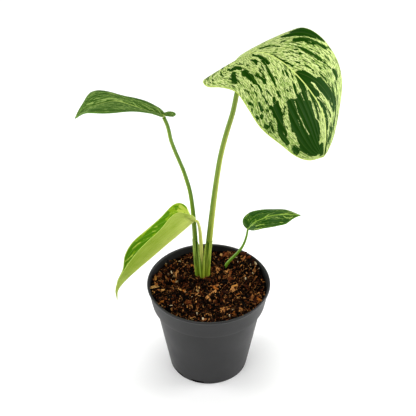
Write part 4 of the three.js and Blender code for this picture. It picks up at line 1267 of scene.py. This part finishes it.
@dataclass
class Stem:
    """Short stem at the soil line, ringed by old leaf scars, that the stalks come out of."""

    centre: tuple[float, float] = (-6.2, 18.6)
    half_width: float = 6.6
    half_depth: float = 4.2
    bottom: float = 72.0
    top: float = 99.5

    def build(self) -> bpy.types.Object:
        """Model the stem as a ringed stump and dress it.

        Returns:
            The finished piece.
        """
        deselect()
        bpy.ops.mesh.primitive_uv_sphere_add(segments=48, ring_count=40, radius=1)
        piece = name_new("stem_stump")
        mesh = piece.data
        middle, half = (self.top + self.bottom) / 2, (self.top - self.bottom) / 2
        places = get_places(mesh) * MM
        for place in places:
            x, y, z = place
            around = math.atan2(y, x)
            # widens the sphere's ends into blunt shoulders
            swell = math.sqrt(max(1e-9, 1 - abs(z) ** 5)) / math.sqrt(max(1e-9, 1 - z * z))
            swell = swell if abs(z) < 1 else 1
            ring = 1 + 0.03 * math.cos(z * 26) + 0.05 * math.cos(3 * around + 0.6)
            place[0] = self.centre[0] + x * swell * ring * self.half_width * 0.96
            place[1] = self.centre[1] + y * swell * ring * self.half_depth * 0.96
            place[2] = middle + z * half
        set_places(mesh, places)
        note(mesh, "around", np.arctan2(places[:, 1] - self.centre[1], places[:, 0] - self.centre[0]) * 2)
        note(mesh, "along", places[:, 2])
        finish = StalkFinish("stem, living", "#5c7a1c", "#34500a", "#3c5a0c")
        mesh.materials.append(finish.material())
        smooth(60)
        hand_over(piece, "stem_green", "stem")
        return piece


@dataclass
class Studio:
    """Pale floor, even light and the camera at the photograph's place."""

    floor_side: float = 6.0
    camera_place: Point = (-0.00062, -0.8187, 0.7945)
    camera_tilt: float = 53.55
    focal: float = 95.19

    def build(self) -> None:
        """Set up the floor, the world, the lamps and the camera."""
        deselect()
        bpy.ops.mesh.primitive_plane_add(size=self.floor_side)
        floor = name_new("floor")
        g = Graph("paper, matte")
        floor.data.materials.append(g.finish("#fcfcfc", 0.9, Specular_IOR_Level=0.2))
        world = bpy.data.worlds.new("studio")
        world.use_nodes = True
        world.node_tree.nodes["Background"].inputs["Color"].default_value = linear("#ffffff")
        world.node_tree.nodes["Background"].inputs["Strength"].default_value = 0.36
        bpy.context.scene.world = world
        self.lamp("key", (-0.5, -0.7, 1.3), 0.9, 5.2)
        self.lamp("fill", (0.8, -0.6, 1.0), 0.9, 2.9)
        self.lamp("top", (0.0, 0.45, 1.5), 0.8, 8.2)
        self.lamp("left side", (-1.1, 0.15, 0.3), 0.6, 8.5)
        self.lamp("right side", (1.1, 0.15, 0.3), 0.6, 10.0)
        deselect()
        bpy.ops.object.camera_add(location=self.camera_place,
                                  rotation=(math.radians(self.camera_tilt), 0, 0))
        camera = bpy.context.object
        camera.data.sensor_width = 36
        camera.data.lens = self.focal
        bpy.context.scene.camera = camera
        bpy.context.scene.view_settings.view_transform = "Standard"
        bpy.context.scene.view_settings.look = "Medium High Contrast"

    def lamp(self, name: str, place: Point, side: float, power: float) -> None:
        """Hang a square lamp that faces the plant.

        Args:
            name: the lamp's name.
            place: where it hangs, in metres.
            side: its width, in metres.
            power: its power, in watts.
        """
        light = bpy.data.lights.new(name, "AREA")
        light.size = side
        light.energy = power
        lamp = bpy.data.objects.new(name, light)
        bpy.context.collection.objects.link(lamp)
        lamp.location = place
        lamp.rotation_euler = (Vector((0, 0, 0.2)) - Vector(place)).to_track_quat("-Z", "Y").to_euler()


def blades() -> list[Blade]:
    """Give the four blades with their finishes.

    Returns:
        The blades.
    """
    marbled = BladeFinish(
        "leaf, living, marbled", ("#ced79f", "#b4c470"), "#6f8e3a", ("#143402", "#204804"), "#bccb78",
        "#b0c262", ("#b4c47a", "#9fb45f"), pale_ragged=0.5, side_veins=0.06, speckle_limit=0.508,
        speckle_share=0.8, speckle_soft=0.02, fleck_limit=0.56, gloss=0.03)
    matte = BladeFinish(
        "leaf, living, matte green", ("#93a962", "#7f974e"), "#51702c", ("#2c4b12", "#3c5f1c"),
        "#a3b560", "#4f7c22", ("#a7b878", "#8fa35c"), dark_bias=0.0, dark_streak=2.4, pale_bias=-1.3,
        speckle_limit=0.4, speckle_soft=0.1, speckle_share=0.9, fleck_limit=0.66, roughness=0.5)
    yellow = BladeFinish(
        "leaf, living, yellow green", ("#aebb56", "#9fae3a"), "#7d9c0e", ("#4b7600", "#5a8804"),
        "#d3dc92", "#b3c262", ("#b4c260", "#7f9916"), dark_bias=-0.1, dark_streak=1.2, pale_bias=-1.3,
        speckle_limit=0.33, speckle_soft=0.1, speckle_share=0.95, fleck_limit=0.7, roughness=0.5)
    dark = BladeFinish(
        "leaf, living, dark green", ("#a8bc66", "#90aa4c"), "#2f570b", ("#1f4405", "#2b550c"),
        "#8fae4a", "#557d20", ("#7f9c50", "#6b8a40"), dark_bias=0.0, dark_streak=2.4, pale_bias=-1.4,
        speckle_limit=0.34, speckle_soft=0.1, speckle_share=0.95, fleck_limit=0.7, roughness=0.34,
        coat=0.12)
    return [
        Blade(
            "leaf_large", "blade_marbled",
            midrib=[(35, -8, 355.5), (46.5, -11, 357), (60, -14, 351), (73.5, -17, 339.5), (86.5, -20, 324),
                    (96.5, -22, 306.5), (100, -25, 288), (99, -29, 266)],
            near=[(35, -8, 355.5), (22.5, -17, 349.8), (10, -30, 351.2), (0, -39, 350.8),
                  (-4.5, -44, 349.8), (-1.5, -50, 348.5), (10.5, -58, 351.5), (21, -62, 349.5),
                  (30.5, -66, 338), (42, -66, 320), (56.5, -60, 300.5), (71.5, -50, 281.5),
                  (86.5, -39, 269.5), (99, -29, 266)],
            far=[(35, -8, 355.5), (26.5, 2, 344.5), (21.5, 12, 335.5), (28, 22, 337.5), (48, 32, 344.5),
                 (67, 39, 350), (82, 42, 352.5), (99, 41, 343.5), (113, 36, 326), (117.5, 30, 308),
                 (116, 20, 289.5), (110.5, -2, 271), (104, -18, 265.5), (99, -29, 266)],
            shoulder=(0.42, 0.3), facing=(0.35, -0.45, 0.82), belly=(5, 5), wave=(1.2, 1.2), wave_count=3,
            keel=1.1, finish=marbled, lobe_rows=34, rib_rows=120, columns=60,
            dark_marks=LARGE_DARK, pale_marks=LARGE_PALE, green_marks=LARGE_GREEN),
        Blade(
            "leaf_left", "blade_matte_green",
            midrib=[(-39.5, 5, 286), (-52, 4, 291.5), (-67.5, 4, 298), (-79.5, 4, 302), (-91, 4, 300),
                    (-104, 3, 295.5), (-117, 2, 285.5)],
            near=[(-39.5, 5, 286), (-42, -5, 291.5), (-48.5, -18, 303.5), (-59.5, -27, 310),
                  (-74.5, -30, 311.5), (-89.5, -29, 310.5), (-100.5, -22, 305.5), (-109.5, -8, 296),
                  (-117, 2, 285.5)],
            far=[(-39.5, 5, 286), (-37.1, 7, 284.8), (-34.1, 9.5, 282.6), (-31.1, 12, 281),
                 (-29.1, 14.5, 281.6), (-30.6, 15.5, 283.2), (-33.8, 13.5, 284.7), (-36.8, 10.5, 285.2),
                 (-38.8, 8.6, 286.1), (-39.9, 10.5, 287.1), (-42.1, 14.5, 287.6), (-46.7, 19, 287.9),
                 (-54, 24, 288.3), (-65.8, 29, 289.1), (-79.3, 32.5, 290.8), (-90.1, 35, 293.2),
                 (-98.2, 36, 293.6), (-104.2, 33, 293.6), (-107.7, 27, 293.6), (-110.7, 19, 292.2),
                 (-114.5, 10, 289.3), (-117, 2, 285.5)],
            shoulder=(0.24, 0.21), facing=(-0.05, 0.3, 0.95), belly=(1.5, 3), wave=(0.6, 0.8), wave_count=3,
            keel=0.8, finish=matte, dark_marks=LEFT_DARK, pale_marks=LEFT_PALE),
        Blade(
            "leaf_young", "blade_yellow_green",
            midrib=[(-15, 5, 170.5), (-27, 1, 160.5), (-41, -4, 149.5), (-55.5, -9, 137.5), (-69, -13, 126),
                    (-80.5, -16, 115.5), (-87, -19, 107.5), (-88, -22, 96.5)],
            near=[(-15, 5, 170.5), (-12.5, -1, 179.5), (-19, -9, 189.5), (-28, -15, 195.5),
                  (-33.5, -18, 194), (-44.5, -22, 181.5), (-58.5, -26, 168), (-68.5, -28, 155.5),
                  (-78, -29, 140.5), (-85, -27, 125.5), (-88.5, -25, 112), (-88, -22, 96.5)],
            far=[(-15, 5, 170.5), (-19, 14, 173.5), (-21.5, 23, 175), (-27.5, 28, 175), (-34, 29, 172),
                 (-46.5, 24, 161), (-61, 17, 150), (-73.5, 8, 141.5), (-80, -1, 133.5), (-82, -10, 125),
                 (-87.5, -18, 115.5), (-88, -22, 96.5)],
            shoulder=(0.26, 0.3), facing=(-0.55, 0.3, 0.78), belly=(-3, -2), wave=(0.3, 0.5), wave_count=2,
            keel=0.7, finish=yellow, dark_marks=YOUNG_DARK, pale_marks=YOUNG_PALE),
        Blade(
            "leaf_small", "blade_dark_green",
            midrib=[(38.2, 32, 140.3), (44, 33, 147.5), (52, 34, 151.5), (60.5, 35, 154.5), (72.5, 35, 156),
                    (89, 33, 156.5)],
            near=[(38.2, 32, 140.3), (43.8, 25, 144), (53, 20.5, 150.5), (66, 20.5, 153), (74.5, 24, 153),
                  (81.5, 29, 155.5), (89, 33, 156.5)],
            far=[(38.2, 32, 140.3), (34.2, 37, 141.5), (33.8, 43, 144), (39.7, 48, 148.5), (50.5, 51, 150),
                 (64.5, 50, 151), (76.3, 44, 155), (89, 33, 156.5)],
            shoulder=(0.22, 0.3), facing=(-0.1, -0.1, 0.98), belly=(1.2, 1.2), wave=(0.3, 0.3),
            wave_count=2, keel=0.5, finish=dark, lobe_rows=20, rib_rows=70, columns=36, arch=(50, 45),
            dark_marks=SMALL_DARK, pale_marks=SMALL_PALE),
    ]


def stalks() -> list[Stalk]:
    """Give the four leaf stalks.

    Returns:
        The stalks.
    """
    return [
        Stalk(
            "stalk_large", "stalk_olive",
            route=[(-2.4, 18.2, 82), (-2.1, 17, 95), (-0.6, 14, 126.5), (1.6, 11.3, 155.5), (4.2, 8.4, 187),
                   (7.3, 5.4, 218.5), (10.9, 2.8, 247), (15.9, 0.4, 272.5), (21, -1.6, 294.5),
                   (24.4, -3.6, 316), (28.5, -5.4, 337), (33.1, -7.2, 351)],
            radii=(3.1, 3.0, 2.5, 2.3, 2.1), sheath_turn=3.45, sheath_reach=0.15,
            finish=StalkFinish("leaf stalk, living, olive", "#a6b04a", "#587c18", "#8aa23a",
                               shade=0.5), knee=0.15),
        Stalk(
            "stalk_left", "stem_green",
            route=[(-10.2, 18.8, 82), (-10.5, 18, 94), (-12.3, 15.9, 125), (-13.8, 13.6, 159.5),
                   (-15.3, 11.2, 184), (-17.6, 9.9, 203.2), (-20.2, 9.3, 214.9), (-23.2, 8.7, 226.5),
                   (-26.9, 8, 237.9), (-30.6, 7.3, 249.2), (-33.7, 6.6, 260.3), (-35.3, 6, 270.2),
                   (-36.6, 5.6, 276.7), (-39.2, 5.2, 284.4)],
            radii=(2.6, 2.5, 2.0, 1.8, 1.7), sheath_turn=-0.3, sheath_reach=0.15,
            finish=StalkFinish("leaf stalk, living, green", "#90a83e", "#48700c", "#7c9836",
                               shade_turn=0.0, shade=0.5)),
        Stalk(
            "stalk_young", "stalk_pale",
            route=[(-6.5, 14.4, 88), (-6.5, 13.6, 98), (-6.8, 10.9, 125), (-7.5, 8.2, 145.5),
                   (-8.8, 5.6, 163), (-10.8, 4.3, 171), (-12.9, 4.6, 171.2)],
            radii=(2.0, 2.0, 1.9, 1.7, 1.2), sheath_end=0.01,
            finish=StalkFinish("leaf stalk, living, pale", "#cccf78", "#b0b85a", "#bac066")),
        Stalk(
            "stalk_small", "stem_green",
            route=[(12, 26.5, 86), (17.2, 28.1, 97.2), (20.5, 28.6, 103.2), (28.4, 29.5, 112.7),
                   (33.8, 30.3, 121.6), (36.9, 31.2, 131.5), (38.1, 31.9, 139.5)],
            radii=(1.7, 1.6, 1.4, 1.2, 1.0), sheath_end=0.3, sheath_turn=3.4,
            finish=StalkFinish("leaf stalk, living, bright green", "#86a834", "#4f7d16",
                                "#749a2a", shade=0.3)),
    ]


def sheaths(stems: Sequence[Stalk]) -> list[Sheath]:
    """Give the two sheaths that clasp the youngest stalk from both sides.

    Args:
        stems: the leaf stalks.

    Returns:
        The sheaths.
    """
    large, left, young, _ = stems
    return [
        Sheath(
            "sheath_left", left, young, turns=(205, 225, 250, 280, 305), young_turns=(225, 262, 284),
            finish=StalkFinish("leaf sheath, living, dark striped", "#b4cc62", "#33560a", "#87a31c",
                               stripe_range=(0.4, 0.58))),
        Sheath(
            "sheath_large", large, young, turns=(-25, -45, -70, -100, -125),
            young_turns=(-45, -76, -92), young_off=0.95,
            finish=StalkFinish("leaf sheath, living, light striped", "#bccb5c", "#46690c", "#94a91e",
                               stripe_range=(0.4, 0.58))),
    ]


def main() -> None:
    """Build the plant and its studio piece by piece."""
    Studio().build()
    LOG.info("studio: floor, light and camera")
    LOG.info("pot: %s", Pot().build().name)
    LOG.info("potting mix: %d pieces", len(PottingMix().build()))
    LOG.info("stem: %s", Stem().build().name)
    stems = stalks()
    for stalk in stems:
        LOG.info("stalk: %s", stalk.build().name)
    for sheath in sheaths(stems):
        LOG.info("sheath: %s", sheath.build().name)
    for blade in blades():
        LOG.info("blade: %s", blade.build().name)


if __name__ == "__main__":
    logging.basicConfig(level=logging.INFO, format="%(name)s: %(message)s")
    main()
